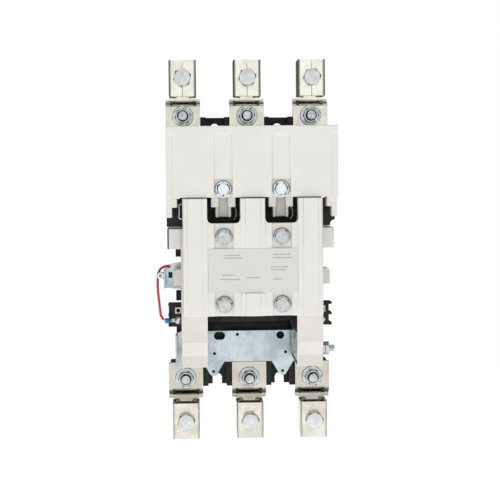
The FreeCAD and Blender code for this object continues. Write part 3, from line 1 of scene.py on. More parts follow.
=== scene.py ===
import bpy
import bmesh
import math
from mathutils import Matrix, Vector


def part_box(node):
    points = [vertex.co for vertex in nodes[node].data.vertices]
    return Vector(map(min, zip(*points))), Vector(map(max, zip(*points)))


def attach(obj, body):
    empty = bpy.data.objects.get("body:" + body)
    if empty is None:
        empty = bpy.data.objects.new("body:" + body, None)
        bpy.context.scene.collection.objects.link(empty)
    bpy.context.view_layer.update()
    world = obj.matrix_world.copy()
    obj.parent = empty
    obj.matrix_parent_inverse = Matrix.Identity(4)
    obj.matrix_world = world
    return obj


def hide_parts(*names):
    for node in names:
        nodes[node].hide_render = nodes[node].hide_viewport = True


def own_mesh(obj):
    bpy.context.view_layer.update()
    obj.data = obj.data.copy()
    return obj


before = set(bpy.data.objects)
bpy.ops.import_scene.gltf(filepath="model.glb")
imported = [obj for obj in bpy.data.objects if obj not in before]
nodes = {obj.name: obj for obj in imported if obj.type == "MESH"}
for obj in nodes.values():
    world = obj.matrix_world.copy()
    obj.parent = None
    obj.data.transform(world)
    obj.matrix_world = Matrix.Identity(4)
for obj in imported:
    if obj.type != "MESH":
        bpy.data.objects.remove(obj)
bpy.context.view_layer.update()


# Base moulding. A black thermoset plate, ribbed at the back, that every strap and stud
# is bolted to. Its skin has the fine grain of the mould and a slight satin sheen.

def noise(tree, coordinates, scale, detail=3.0):
    """The value of a noise texture on given coordinates."""
    texture = tree.nodes.new("ShaderNodeTexNoise")
    texture.inputs["Scale"].default_value = scale
    texture.inputs["Detail"].default_value = detail
    tree.links.new(coordinates, texture.inputs["Vector"])
    return texture.outputs["Fac"]


def mapped(tree, value, low, high, low_out, high_out):
    """Stretch a value from one range to another."""
    node = tree.nodes.new("ShaderNodeMapRange")
    tree.links.new(value, node.inputs["Value"])
    for name, number in (("From Min", low), ("From Max", high)):
        node.inputs[name].default_value = number
    for name, number in (("To Min", low_out), ("To Max", high_out)):
        if hasattr(number, "links"):
            tree.links.new(number, node.inputs[name])
        else:
            node.inputs[name].default_value = number
    return node.outputs["Result"]


def blended(tree, factor, first, second):
    """Mix two colours by a factor."""
    node = tree.nodes.new("ShaderNodeMix")
    node.data_type = "RGBA"
    for socket, value in ((0, factor), (6, first), (7, second)):
        tree.links.new(value, node.inputs[socket])
    return node.outputs[2]


def bumped(tree, height, strength, distance):
    """A normal bent by a height."""
    node = tree.nodes.new("ShaderNodeBump")
    node.inputs["Distance"].default_value = distance
    tree.links.new(height, node.inputs["Height"])
    if hasattr(strength, "links"):
        tree.links.new(strength, node.inputs["Strength"])
    else:
        node.inputs["Strength"].default_value = strength
    return node.outputs["Normal"]


def effect(name, sockets):
    """An empty shader group with its inputs, and a colour, a roughness and a normal out."""
    tree = bpy.data.node_groups.new(name, "ShaderNodeTree")
    for label, kind, value in sockets:
        socket = tree.interface.new_socket(label, in_out="INPUT", socket_type=kind)
        socket.default_value = value
    tree.interface.new_socket("Colour", in_out="OUTPUT", socket_type="NodeSocketColor")
    tree.interface.new_socket("Roughness", in_out="OUTPUT", socket_type="NodeSocketFloat")
    tree.interface.new_socket("Normal", in_out="OUTPUT", socket_type="NodeSocketVector")
    start = tree.nodes.new("NodeGroupInput")
    end = tree.nodes.new("NodeGroupOutput")
    place = tree.nodes.new("ShaderNodeTexCoord").outputs["Object"]
    return tree, start.outputs, end.inputs, place


def moulded_skin():
    """Moulded plastic: soft clouds in the colour, flow marks in the gloss, a fine grain."""
    tree, given, result, place = effect("moulded skin", [
        ("Colour", "NodeSocketColor", (0.8, 0.8, 0.8, 1)),
        ("Shade", "NodeSocketColor", (0.7, 0.7, 0.7, 1)),
        ("Gloss", "NodeSocketFloat", 0.4),
        ("Grain", "NodeSocketFloat", 0.1)])
    clouds = mapped(tree, noise(tree, place, 38.0), 0.35, 0.7, 0.0, 1.0)
    specks = mapped(tree, noise(tree, place, 900.0, 2.0), 0.62, 0.8, 0.0, 0.35)
    colour = blended(tree, clouds, given["Colour"], given["Shade"])
    tree.links.new(blended(tree, specks, colour, given["Shade"]), result["Colour"])
    add = tree.nodes.new("ShaderNodeMath")
    tree.links.new(given["Gloss"], add.inputs[0])
    tree.links.new(mapped(tree, noise(tree, place, 120.0), 0.3, 0.7, -0.07, 0.09),
                   add.inputs[1])
    tree.links.new(add.outputs[0], result["Roughness"])
    tree.links.new(bumped(tree, noise(tree, place, 1500.0, 2.0), given["Grain"], 0.0002),
                   result["Normal"])
    return tree


def finish(name, group, values, **constants):
    """A material whose varying sockets come from a group; the rest are set on the shader."""
    material = bpy.data.materials.new(name)
    material.use_nodes = True
    tree = material.node_tree
    shader = tree.nodes["Principled BSDF"]
    node = tree.nodes.new("ShaderNodeGroup")
    node.node_tree = group
    for label, value in values.items():
        node.inputs[label].default_value = value
    tree.links.new(node.outputs["Colour"], shader.inputs["Base Color"])
    tree.links.new(node.outputs["Roughness"], shader.inputs["Roughness"])
    tree.links.new(node.outputs["Normal"], shader.inputs["Normal"])
    for label, value in constants.items():
        shader.inputs[label.replace("_", " ")].default_value = value
    return material


def solid_copy(node):
    """A merged copy of a solid's mesh, its faces flat."""
    form = bmesh.new()
    form.from_mesh(nodes[node].data)
    bmesh.ops.remove_doubles(form, verts=form.verts, dist=2e-6)
    for face in form.faces:
        face.smooth = False
    return form


def soften(form, width, segments=2):
    """Round the outer edges that are sharp and long enough to take it."""
    outer = [e for e in form.edges if e.is_manifold and e.is_convex
             and e.calc_face_angle(0) > math.radians(40) and e.calc_length() > 5 * width]
    rounds = bmesh.ops.bevel(form, geom=outer, offset=width, segments=segments, profile=0.5,
                             affect="EDGES", material=-1, clamp_overlap=False)
    for face in rounds["faces"]:
        face.smooth = True


def piece(name, form, material, body, replaced=(), angle=None):
    """Turn a form into a finished piece that rides on a body, smooth up to an angle."""
    mesh = bpy.data.meshes.new(name)
    form.to_mesh(mesh)
    form.free()
    if angle:
        mesh.shade_smooth()
        mesh.set_sharp_from_angle(angle=math.radians(angle))
    mesh.materials.append(material)
    item = bpy.data.objects.new(name, mesh)
    bpy.context.scene.collection.objects.link(item)
    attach(item, body)
    if replaced:
        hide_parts(*replaced)
    return item


def softened(node, material, body="frame", width=0.0004, segments=2):
    """A solid's own shape with its outer edges rounded."""
    form = solid_copy(node)
    soften(form, width, segments)
    piece(node + "_finished", form, material, body, [node])


skin = moulded_skin()
black = finish("black_moulding", skin, {
    "Colour": (0.008, 0.008, 0.0085, 1), "Shade": (0.014, 0.014, 0.0145, 1),
    "Gloss": 0.46, "Grain": 0.25}, Specular_IOR_Level=0.28)
softened("base_moulding", black, width=0.0005)


# Power straps. Copper bar cut, bent twice and tin plated; the plating is a soft bright
# silver with a faint warm tone and lines from the bending.

def plated_skin():
    """Plated metal: clouds of two tones, gloss that changes with them, faint dents."""
    tree, given, result, place = effect("plated skin", [
        ("Colour", "NodeSocketColor", (0.8, 0.8, 0.8, 1)),
        ("Shade", "NodeSocketColor", (0.6, 0.6, 0.6, 1)),
        ("Cloud size", "NodeSocketFloat", 60.0),
        ("Smooth", "NodeSocketFloat", 0.2),
        ("Rough", "NodeSocketFloat", 0.4),
        ("Dents", "NodeSocketFloat", 0.1)])
    texture = tree.nodes.new("ShaderNodeTexNoise")
    texture.inputs["Detail"].default_value = 5.0
    texture.inputs["Roughness"].default_value = 0.65
    tree.links.new(place, texture.inputs["Vector"])
    tree.links.new(given["Cloud size"], texture.inputs["Scale"])
    clouds = mapped(tree, texture.outputs["Fac"], 0.36, 0.64, 0.0, 1.0)
    tree.links.new(blended(tree, clouds, given["Colour"], given["Shade"]), result["Colour"])
    tree.links.new(mapped(tree, clouds, 0.0, 1.0, given["Smooth"], given["Rough"]),
                   result["Roughness"])
    tree.links.new(bumped(tree, noise(tree, place, 260.0, 4.0), given["Dents"], 0.0004),
                   result["Normal"])
    return tree


plating = plated_skin()
tin = finish("tin_plating", plating, {
    "Colour": (0.53, 0.515, 0.46, 1), "Shade": (0.455, 0.435, 0.375, 1), "Cloud size": 70.0,
    "Smooth": 0.12, "Rough": 0.22, "Dents": 0.05}, Metallic=1.0)
# A darker copy of the tin for the load straps: the darker colour is painted shade; the higher
# roughness is its own.
dull_shaded_tin = finish("dull_shaded_tin_plating", plating, {
    "Colour": (0.47, 0.45, 0.40, 1), "Shade": (0.40, 0.38, 0.33, 1), "Cloud size": 70.0,
    "Smooth": 0.16, "Rough": 0.28, "Dents": 0.06}, Metallic=1.0)
POLES = {"left": -1, "middle": 0, "right": 1}
for side in POLES:
    softened(f"line_strap_{side}", tin, width=0.0003)
    softened(f"load_strap_{side}", dull_shaded_tin, width=0.0003)


# Strap insulation. Two strips of black fibre sheet laid over the load straps below the
# coil, the lower one lapped over the upper one.

def gathered(target, part, matrix):
    """Add a part's mesh to another form at a place."""
    bmesh.ops.transform(part, matrix=matrix, verts=part.verts)
    mesh = bpy.data.meshes.new("gathered")
    part.to_mesh(mesh)
    part.free()
    target.from_mesh(mesh)
    bpy.data.meshes.remove(mesh)


def slab(form, x, depth, z, width=0.0002):
    """A block between two X, two depths and two heights, its edges rounded."""
    part = bmesh.new()
    bmesh.ops.create_cube(part, size=1.0)
    bmesh.ops.scale(part, verts=part.verts, vec=(x[1] - x[0], depth[1] - depth[0], z[1] - z[0]))
    soften(part, width)
    gathered(form, part, Matrix.Translation(((x[0] + x[1]) / 2, -(depth[0] + depth[1]) / 2,
                                             (z[0] + z[1]) / 2)))


# Black fibre for the strap strips; the same black also makes the painted-shade sheets in the
# pole base's legs.
fibre_and_shade = finish("black_fibre_and_shade", skin, {
    "Colour": (0.012, 0.012, 0.012, 1), "Shade": (0.020, 0.019, 0.018, 1),
    "Gloss": 0.55, "Grain": 0.5}, Specular_IOR_Level=0.3)
strip_width = (-0.040, 0.040)
strips = bmesh.new()
slab(strips, strip_width, (0.0276, 0.0282), (-0.080, -0.0495))
slab(strips, strip_width, (0.0282, 0.0292), (-0.102, -0.0690), 0.0004)
piece("strap_insulation", strips, fibre_and_shade, "frame")


# Magnet core. Silicon steel sheets riveted into an E, on two rubber cushions; the sheets
# show as fine lines along the stack.

def laminated_skin():
    """Stacked sheet steel: fine lines across the stack and a dark blue-grey scale."""
    tree, given, result, place = effect("laminated skin", [
        ("Colour", "NodeSocketColor", (0.3, 0.3, 0.32, 1)),
        ("Shade", "NodeSocketColor", (0.1, 0.1, 0.11, 1))])
    waves = tree.nodes.new("ShaderNodeTexWave")
    waves.bands_direction = "Z"
    waves.inputs["Scale"].default_value = 500.0
    waves.inputs["Distortion"].default_value = 0.4
    tree.links.new(place, waves.inputs["Vector"])
    lines = waves.outputs["Fac"]
    clouds = mapped(tree, noise(tree, place, 70.0), 0.4, 0.7, 0.0, 0.6)
    colour = blended(tree, lines, given["Shade"], given["Colour"])
    tree.links.new(blended(tree, clouds, colour, given["Shade"]), result["Colour"])
    tree.links.new(mapped(tree, clouds, 0.0, 0.6, 0.35, 0.6), result["Roughness"])
    tree.links.new(bumped(tree, lines, 0.4, 0.0002), result["Normal"])
    return tree


sheets = finish("core_sheets", laminated_skin(), {
    "Colour": (0.30, 0.30, 0.31, 1), "Shade": (0.10, 0.10, 0.11, 1)}, Metallic=0.9)
softened("magnet_core", sheets, width=0.0003)
rubber = finish("cushion_rubber", skin, {
    "Colour": (0.02, 0.02, 0.02, 1), "Shade": (0.035, 0.034, 0.033, 1), "Gloss": 0.75,
    "Grain": 0.5})
softened("core_cushions", rubber, width=0.0006)


# Coil. Enamelled copper wound on a black bobbin and wrapped in dark glossy tape, whose
# turns overlap and leave low steps round the winding.

def taped_skin():
    """Wrapped tape: overlapping bands along the bobbin's axis, slightly creased."""
    tree, given, result, place = effect("taped skin", [
        ("Colour", "NodeSocketColor", (0.02, 0.018, 0.016, 1)),
        ("Shade", "NodeSocketColor", (0.05, 0.045, 0.04, 1))])
    bands = tree.nodes.new("ShaderNodeTexWave")
    bands.bands_direction = "Y"
    bands.wave_profile = "SAW"
    bands.inputs["Scale"].default_value = 55.0
    bands.inputs["Distortion"].default_value = 0.8
    tree.links.new(place, bands.inputs["Vector"])
    creases = noise(tree, place, 180.0, 4.0)
    tree.links.new(blended(tree, creases, given["Colour"], given["Shade"]), result["Colour"])
    tree.links.new(mapped(tree, creases, 0.3, 0.7, 0.22, 0.45), result["Roughness"])
    tree.links.new(bumped(tree, bands.outputs["Fac"], 0.5, 0.0004), result["Normal"])
    return tree


tape = finish("winding_tape", taped_skin(), {
    "Colour": (0.016, 0.015, 0.014, 1), "Shade": (0.045, 0.042, 0.04, 1)})
softened("coil_winding", tape, width=0.0012, segments=3)
softened("coil_bobbin", black, width=0.0003)


# Pole base. The white housing that carries the cover and stands on two legs; a warm off-white
# polyester with a fine even grain, coloured darker than the arc box as painted shade. Thin
# black sheets on the inner faces of its legs are painted shade.

white = finish("white_moulding", skin, {
    "Colour": (0.775, 0.762, 0.722, 1), "Shade": (0.742, 0.728, 0.684, 1),
    "Gloss": 0.42, "Grain": 0.10})
# The pole base's copy of the white: warmer, and darker as painted shade.
warm_shaded_white = finish("warm_shaded_white_moulding", skin, {
    "Colour": (0.695, 0.672, 0.625, 1), "Shade": (0.668, 0.644, 0.596, 1),
    "Gloss": 0.42, "Grain": 0.10})
softened("pole_base", warm_shaded_white, width=0.0005)
# Thin black sheets on the legs' inner faces: painted shade for the dark inside the window.
painted_shade_sheets = bmesh.new()
for inner, outer in ((0.04152, 0.04182), (-0.04182, -0.04152)):
    slab(painted_shade_sheets, (inner, outer), (0.051, 0.119), (-0.0990, -0.0955), 0.00005)
    slab(painted_shade_sheets, (inner, outer), (0.075, 0.124), (-0.0685, -0.0520), 0.00005)
piece("leg_painted_shade_sheets", painted_shade_sheets, fibre_and_shade, "frame")


# Kick-out springs. Two music-wire springs that push the crossbar forwards when the coil
# is switched off; their closed ends sit on posts of the pole base.

def wire_curve(name, kind, spots, radius):
    """A round wire along some points, and the spline that it follows."""
    curve = bpy.data.curves.new(name, "CURVE")
    curve.dimensions = "3D"
    curve.bevel_depth = radius
    curve.bevel_resolution = 3
    curve.use_fill_caps = True
    spline = curve.splines.new(kind)
    spline.points.add(len(spots) - 1)
    for point, spot in zip(spline.points, spots):
        point.co = (*spot, 1)
    if kind == "NURBS":
        spline.order_u = 3
        spline.use_endpoint_u = True
    return curve


def meshed(curve):
    """The skin of a wire as a form."""
    holder = bpy.data.objects.new(curve.name, curve)
    form = bmesh.new()
    form.from_mesh(bpy.data.meshes.new_from_object(holder))
    bpy.data.objects.remove(holder)
    return form


def wound_wire(name, x, z, back, front, radius, wire, turns):
    """A round wire wound along Y, with a closed turn at each end."""
    steps = 16
    spots = []
    total = turns + 2
    for i in range(steps * total + 1):
        turn = i / steps
        along = min(max(turn - 1, 0), turns)
        angle = 2 * math.pi * turn
        share = wire + (back - front - 2 * wire) * along / turns
        spots.append((x + radius * math.cos(angle), back - share,
                      z + radius * math.sin(angle)))
    return meshed(wire_curve(name, "POLY", spots, wire))


spring_steel = finish("spring_steel", plating, {
    "Colour": (0.55, 0.56, 0.58, 1), "Shade": (0.38, 0.38, 0.40, 1), "Cloud size": 150.0,
    "Smooth": 0.2, "Rough": 0.35, "Dents": 0.05}, Metallic=1.0)
kick_low, kick_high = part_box("kickout_springs")
SIDES = {"left": -1, "right": 1}
pair = bmesh.new()
for side, sign in SIDES.items():
    one = wound_wire("kick_" + side, 0.0264 * sign, 0.044, kick_high[1] - 0.0001,
                     kick_low[1] + 0.0001, radius=0.0065, wire=0.0009, turns=6)
    gathered(pair, one, Matrix())
springs = piece("kickout_springs_wire", pair, spring_steel, "frame", ["kickout_springs"],
                angle=60)
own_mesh(springs)


# Armature and crossbar. The moving magnet half, riveted sheets, is held in the saddle of a
# black moulded crossbar whose three arms carry the contact bridges. A bent near-white wire in
# each opening of the cover is painted highlight, drawn where glints lie on the black edges.

softened("armature", sheets, "crossbar", width=0.0003)
softened("crossbar", black, "crossbar", width=0.0005)
# Near-white wire: painted highlight standing for the glints in the cover's openings.
painted_highlight_wire = finish("painted_highlight_wire", plating, {
    "Colour": (0.95, 0.95, 0.94, 1), "Shade": (0.85, 0.85, 0.84, 1), "Cloud size": 150.0,
    "Smooth": 0.3, "Rough": 0.5, "Dents": 0.03}, Metallic=0.4)
wires = bmesh.new()
hook_run = [(-0.0020, 0.0530), (0.0004, 0.0530), (-0.0008, 0.0480), (0.0006, 0.0470),
            (0.0006, 0.0430), (0.0004, 0.0395), (-0.0016, 0.0375)]
bracket_run = [(0.0016, 0.0522), (-0.0008, 0.0522), (-0.0008, 0.0500), (-0.0006, 0.0450),
               (-0.0010, 0.0400), (-0.0008, 0.0384), (0.0016, 0.0384)]
for x, outline in ((-0.0664, bracket_run), (-0.0144, hook_run), (0.0384, hook_run)):
    spots = [(x + across, -0.1127, height) for across, height in outline]
    gathered(wires, meshed(wire_curve("glint_wire", "NURBS", spots, 0.0006)), Matrix())
piece("glint_wires", wires, painted_highlight_wire, "crossbar", angle=60)


# Contact springs and bridges. Each bridge is a copper bar with a silver tip at each end,
# pressed back by a short spring in the crossbar's cage.

def copper_skin():
    """Bare copper with brown clouds, and silver where the tips stand."""
    tree, given, result, place = effect("copper skin", [
        ("Colour", "NodeSocketColor", (0.72, 0.36, 0.24, 1)),
        ("Shade", "NodeSocketColor", (0.34, 0.17, 0.12, 1)),
        ("Tip", "NodeSocketColor", (0.78, 0.77, 0.74, 1))])
    split = tree.nodes.new("ShaderNodeSeparateXYZ")
    tree.links.new(place, split.inputs["Vector"])
    tip = mapped(tree, split.outputs["Y"], -0.0712, -0.0708, 0.0, 1.0)
    clouds = mapped(tree, noise(tree, place, 160.0, 5.0), 0.35, 0.7, 0.0, 1.0)
    copper = blended(tree, clouds, given["Colour"], given["Shade"])
    tree.links.new(blended(tree, tip, copper, given["Tip"]), result["Colour"])
    tree.links.new(mapped(tree, clouds, 0.0, 1.0, 0.22, 0.5), result["Roughness"])
    tree.links.new(bumped(tree, noise(tree, place, 400.0), 0.15, 0.0003), result["Normal"])
    return tree


copper = finish("bridge_copper", copper_skin(), {}, Metallic=1.0)
contact_pitch = 0.0528
for side, sign in POLES.items():
    softened(f"contact_bridge_{side}", copper, f"bridge_{side}", width=0.0004)
    low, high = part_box(f"contact_spring_{side}")
    wire = wound_wire("contact_" + side, contact_pitch * sign, (low[2] + high[2]) / 2,
                      high[1] - 0.0001, low[1] + 0.0001, radius=0.006, wire=0.0009, turns=4)
    spring = piece(f"contact_spring_{side}_wire", wire, spring_steel, "crossbar",
                   [f"contact_spring_{side}"], angle=60)
    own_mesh(spring)


# Arc chutes. Copper-flashed steel plates with a notch, held a few millimetres apart by
# grey fibre cheeks.

splitter = finish("splitter_steel", plating, {
    "Colour": (0.48, 0.42, 0.36, 1), "Shade": (0.28, 0.25, 0.23, 1), "Cloud size": 110.0,
    "Smooth": 0.3, "Rough": 0.55, "Dents": 0.2}, Metallic=1.0)
for side in POLES:
    softened(f"arc_chute_{side}", splitter, width=0.0002)


# Arc box. One deep white moulding over the three contact chambers, the same polyester
# as the pole base, held by two long screws.

softened("arc_box", white, width=0.0006)


# Front cover and rating plate. A shallow white moulding over the crossbar and magnet, with
# raised columns and four screw pads. A pale painted plate with a few plain bars is set in
# its middle.

softened("front_cover", white, width=0.0005)
lips = bmesh.new()
for left, right in ((-0.0634, -0.0414), (-0.0111, 0.0111), (0.0414, 0.0634)):
    slab(lips, (left, right), (0.1360, 0.1475), (0.0375, 0.0404))
piece("cover_lips", lips, white, "frame")
plate_paint = finish("rating_plate_paint", skin, {
    "Colour": (0.670, 0.680, 0.650, 1), "Shade": (0.650, 0.660, 0.632, 1),
    "Gloss": 0.48, "Grain": 0.04})
softened("rating_plate", plate_paint, width=0.0001)
ink = finish("plate_ink", skin, {
    "Colour": (0.30, 0.31, 0.31, 1), "Shade": (0.38, 0.39, 0.39, 1), "Gloss": 0.5,
    "Grain": 0.02})
dash, pitch = 0.0016, 0.002
bars = bmesh.new()
for left, right, height in ((-0.026, -0.012, 0.0055), (-0.026, -0.010, 0.0030),
                            (-0.028, -0.016, -0.0125), (-0.030, -0.012, -0.0165),
                            (0.018, 0.034, 0.0060), (0.018, 0.036, 0.0030),
                            (0.016, 0.032, -0.0055), (0.016, 0.030, -0.0080),
                            (-0.006, 0.005, -0.0150), (0.018, 0.026, -0.0165)):
    for step in range(round((right - left) / pitch)):
        start = left + pitch * step
        slab(bars, (start, start + dash), (0.15355, 0.15365), (height, height + 0.0009),
             0.00002)
piece("rating_plate_bars", bars, ink, "frame")


# Housing screws. Hex washer-head screws, zinc plated and clear passivated; the head has
# a flange, chamfered corners and a shallow dish on top.

zinc = finish("dull_zinc", plating, {
    "Colour": (0.46, 0.485, 0.48, 1), "Shade": (0.31, 0.335, 0.34, 1), "Cloud size": 300.0,
    "Smooth": 0.14, "Rough": 0.30, "Dents": 0.10}, Metallic=1.0)
bright_zinc = finish("bright_zinc", plating, {
    "Colour": (0.60, 0.64, 0.66, 1), "Shade": (0.48, 0.53, 0.56, 1), "Cloud size": 300.0,
    "Smooth": 0.10, "Rough": 0.22, "Dents": 0.06}, Metallic=1.0)


def turned(profile, sides):
    """Spin a profile of (radius, height) points round Z into a closed solid."""
    form = bmesh.new()
    verts = [form.verts.new((radius, 0, height)) for radius, height in profile]
    edges = [form.edges.new(pair) for pair in zip(verts, verts[1:])]
    bmesh.ops.spin(form, geom=verts + edges, cent=(0, 0, 0), axis=(0, 0, 1), dvec=(0, 0, 0),
                   angle=2 * math.pi, steps=sides, use_merge=True, use_duplicate=False)
    bmesh.ops.remove_doubles(form, verts=form.verts, dist=1e-6)
    bmesh.ops.recalc_face_normals(form, faces=form.faces)
    return form


def facing(x, y, z, direction=(0, -1, 0), roll=0.0):
    """The place of a fastener that stands at a point and faces a direction."""
    turn = Vector((0, 0, 1)).rotation_difference(Vector(direction)).to_matrix().to_4x4()
    return Matrix.Translation((x, y, z)) @ turn @ Matrix.Rotation(roll, 4, "Z")


def hexed(flats, height, face, bore=0.0, sink=0.0):
    """A hexagon head or nut on Z = 0, its upper corners turned off to a round face."""
    corner = flats / math.sqrt(3) + 0.0002
    slope = height - (corner - face) * 0.9
    profile = [(bore, 0), (corner, 0), (corner, slope), (face, height),
               (face - 0.0003, height + 0.00002), (bore + sink, height + 0.00002)]
    if sink:
        profile += [(bore, height - sink), (bore, 0)]
    form = turned(profile, 48)
    for step in range(6):
        angle = math.radians(60 * step + 30)
        normal = Vector((math.cos(angle), math.sin(angle), 0))
        cut = bmesh.ops.bisect_plane(form, geom=form.verts[:] + form.edges[:] + form.faces[:],
                                     plane_co=normal * flats / 2, plane_no=normal,
                                     clear_outer=True)
        rim = [e for e in cut["geom_cut"] if isinstance(e, bmesh.types.BMEdge)]
        bmesh.ops.edgeloop_fill(form, edges=rim)
    return form


def washer_screws(node, material, spots, seat, length, face):
    """A group of flanged hex screws on seats of one depth, each turned its own way."""
    group = bmesh.new()
    for number, (x, z) in enumerate(spots):
        disc = turned([(0, 0), (0.0078, 0), (0.0080, 0.0002), (0.0080, 0.0009),
                       (0.0071, 0.0014), (0.0070, 0.0016), (0, 0.0016)], 48)
        gathered(group, disc, facing(x, -seat, z))
        gathered(group, hexed(0.0118, 0.0044, face),
                 facing(x, 0.0001 - seat - 0.0014, z, roll=0.5 + number * 0.7))
        rod = turned([(0, 0.0001), (0.0030, 0.0001), (0.0030, 0.0005 - length),
                      (0.0025, -length), (0, -length)], 24)
        gathered(group, rod, facing(x, -seat, z))
    piece(node + "_finished", group, material, "frame", [node], angle=30)


screw_columns = (-0.0264, 0.0264)
washer_screws("arc_box_screws", bright_zinc, [(x, 0.066) for x in screw_columns],
              seat=0.1464, length=0.0455, face=0.0049)
washer_screws("cover_screws", zinc, [(x, z) for x in screw_columns for z in (0.0228, -0.039)],
              seat=0.1512, length=0.0315, face=0.0056)


# Auxiliary contact housings. Two small white boxes clipped to the side walls, the left
# one with a thin black plate on its outer face.

for side in SIDES:
    softened(f"aux_housing_{side}", white, width=0.0005)
softened("aux_backing_plate", black, width=0.0002)


# Coil terminals. Black blocks that come out of each side, with a square plated clamp
# and a slotted screw; the left screw holds the jumper lead's ring.

softened("coil_terminal_right", black, width=0.0003)
block = solid_copy("coil_terminal_left")
soften(block, 0.0003)
slab(block, (-0.0790, -0.0660), (0.0563, 0.0720), (-0.0667, -0.0450), 0.0004)
piece("coil_terminal_left_finished", block, black, "frame", ["coil_terminal_left"])
nickel = finish("nickel_plating", plating, {
    "Colour": (0.38, 0.37, 0.34, 1), "Shade": (0.29, 0.28, 0.26, 1), "Cloud size": 200.0,
    "Smooth": 0.14, "Rough": 0.3, "Dents": 0.1}, Metallic=1.0)
softened("coil_terminal_clamps", nickel, width=0.0003)


def slotted(radius, height, slot):
    """A round head with a screwdriver slot across its dome."""
    head = turned([(0, 0), (radius, 0), (radius, height * 0.5), (radius * 0.93, height * 0.6),
                   (0, height * 0.6)], 32)
    for sign in (-1, 1):
        half = turned([(0, height * 0.6), (radius * 0.93, height * 0.6),
                       (radius * 0.75, height * 0.85), (radius * 0.4, height * 0.97),
                       (0, height)], 32)
        cut = bmesh.ops.bisect_plane(half, geom=half.verts[:] + half.edges[:] + half.faces[:],
                                     plane_co=(sign * slot / 2, 0, 0), plane_no=(-sign, 0, 0),
                                     clear_outer=True)
        rim = [e for e in cut["geom_cut"] if isinstance(e, bmesh.types.BMEdge)]
        bmesh.ops.edgeloop_fill(half, edges=rim)
        gathered(head, half, Matrix())
    return head


chrome = finish("chromed_steel", plating, {
    "Colour": (0.70, 0.68, 0.66, 1), "Shade": (0.30, 0.27, 0.25, 1), "Cloud size": 600.0,
    "Smooth": 0.06, "Rough": 0.2, "Dents": 0.5}, Metallic=1.0)
clamp_x, clamp_face, clamp_z = 0.0698, 0.0751, -0.0608
group = bmesh.new()
for sign in SIDES.values():
    head = slotted(radius=0.0031, height=0.0026, slot=0.0008)
    gathered(group, head, facing(clamp_x * sign, -clamp_face, clamp_z, roll=0.6 * sign))
    rod = turned([(0, 0.0002), (0.0019, 0.0002), (0.0019, -0.0088), (0, -0.0088)], 24)
    gathered(group, rod, facing(clamp_x * sign, -clamp_face, clamp_z))
piece("coil_terminal_screws_finished", group, chrome, "frame", ["coil_terminal_screws"],
      angle=30)
softened("ring_terminal", nickel, width=0.0001)
blue = finish("blue_sleeve", skin, {
    "Colour": (0.012, 0.17, 0.47, 1), "Shade": (0.008, 0.12, 0.38, 1), "Gloss": 0.3,
    "Grain": 0.05}, Coat_Weight=0.3)
sleeve = turned([(0, 0), (0.0015, 0), (0.0023, 0.0004), (0.0026, 0.0013), (0.0026, 0.0034),
                 (0.0022, 0.0045), (0.0019, 0.0051), (0.0019, 0.0064), (0, 0.0064)], 32)
group = bmesh.new()
gathered(group, sleeve, facing(-0.0828, -0.0770, clamp_z, (1, 0, 0)))
piece("terminal_sleeve_finished", group, blue, "frame", ["terminal_sleeve"], angle=45)


# Carrier plate. Blue-passivated zinc on sheet steel, mottled by the dip, with clipped
# ears below, a folded flange up each leg and two screws through its edges.

sheet_zinc = finish("mottled_zinc", plating, {
    "Colour": (0.41, 0.465, 0.485, 1), "Shade": (0.31, 0.36, 0.38, 1), "Cloud size": 60.0,
    "Smooth": 0.20, "Rough": 0.34, "Dents": 0.08}, Metallic=1.0)
softened("carrier_plate", sheet_zinc, width=0.00025)
softened("carrier_plate_screws", zinc, width=0.0002)
flanges = bmesh.new()
for inner, outer in ((0.04142, 0.04182), (-0.04182, -0.04142)):
    slab(flanges, (inner, outer), (0.051, 0.119), (-0.0955, -0.0690), 0.00005)
piece("carrier_flanges", flanges, sheet_zinc, "frame")


# Side bracket and jumper lead. A folded zinc bracket at the left holds a connector with a
# bright eye. The red lead, stranded wire in plastic, runs from behind it down to the coil
# terminal's ring.

softened("side_bracket", sheet_zinc, width=0.0002)
softened("bracket_connector", zinc, width=0.0002)
eye = turned([(0.0013, 0), (0.0030, 0), (0.0034, 0.0004), (0.0034, 0.0010),
              (0.0030, 0.0014), (0.0018, 0.0014), (0.0013, 0.0009), (0.0013, 0)], 32)
low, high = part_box("bracket_connector")
group = bmesh.new()
gathered(group, eye, facing(low[0] + 0.0036, low[1] + 0.0002, (low[2] + high[2]) / 2))
piece("connector_eye", group, bright_zinc, "frame", angle=30)
insert = bmesh.new()
slab(insert, (-0.0794, -0.0742), (0.0768, 0.0782), (-0.0200, -0.0125))
piece("bracket_slot_insert", insert, black, "frame")
lead_route = [(-0.0775, -0.0815, -0.0082), (-0.0798, -0.0850, -0.0074),
              (-0.0836, -0.0858, -0.0079), (-0.0875, -0.0822, -0.0113),
              (-0.0892, -0.0804, -0.0190), (-0.0891, -0.0800, -0.0310),
              (-0.0878, -0.0792, -0.0435), (-0.0870, -0.0780, -0.0526),
              (-0.0862, -0.0772, -0.0572), (-0.0837, -0.0770, -0.0599)]
lead_curve = wire_curve("jumper_lead_run", "NURBS", lead_route, 0.0012)
lead_curve.bevel_resolution = 5
red = finish("red_insulation", skin, {
    "Colour": (0.50, 0.022, 0.042, 1), "Shade": (0.40, 0.018, 0.034, 1), "Gloss": 0.36,
    "Grain": 0.08}, Coat_Weight=0.2)
lead_curve.materials.append(red)
lead = bpy.data.objects.new("jumper_lead_wire", lead_curve)
bpy.context.scene.collection.objects.link(lead)
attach(lead, "frame")
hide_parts("jumper_lead")


# Ground screw. A zinc plated steel screw through the right leg, held by a washer and two
# hex nuts.

softened("ground_screw", zinc, width=0.0003)
softened("ground_nuts", zinc, width=0.0002)


# Terminal studs and nuts. Turned steel studs, zinc plated, that stand in the straps. A hex
# nut on a wide washer clamps each lug to its strap.

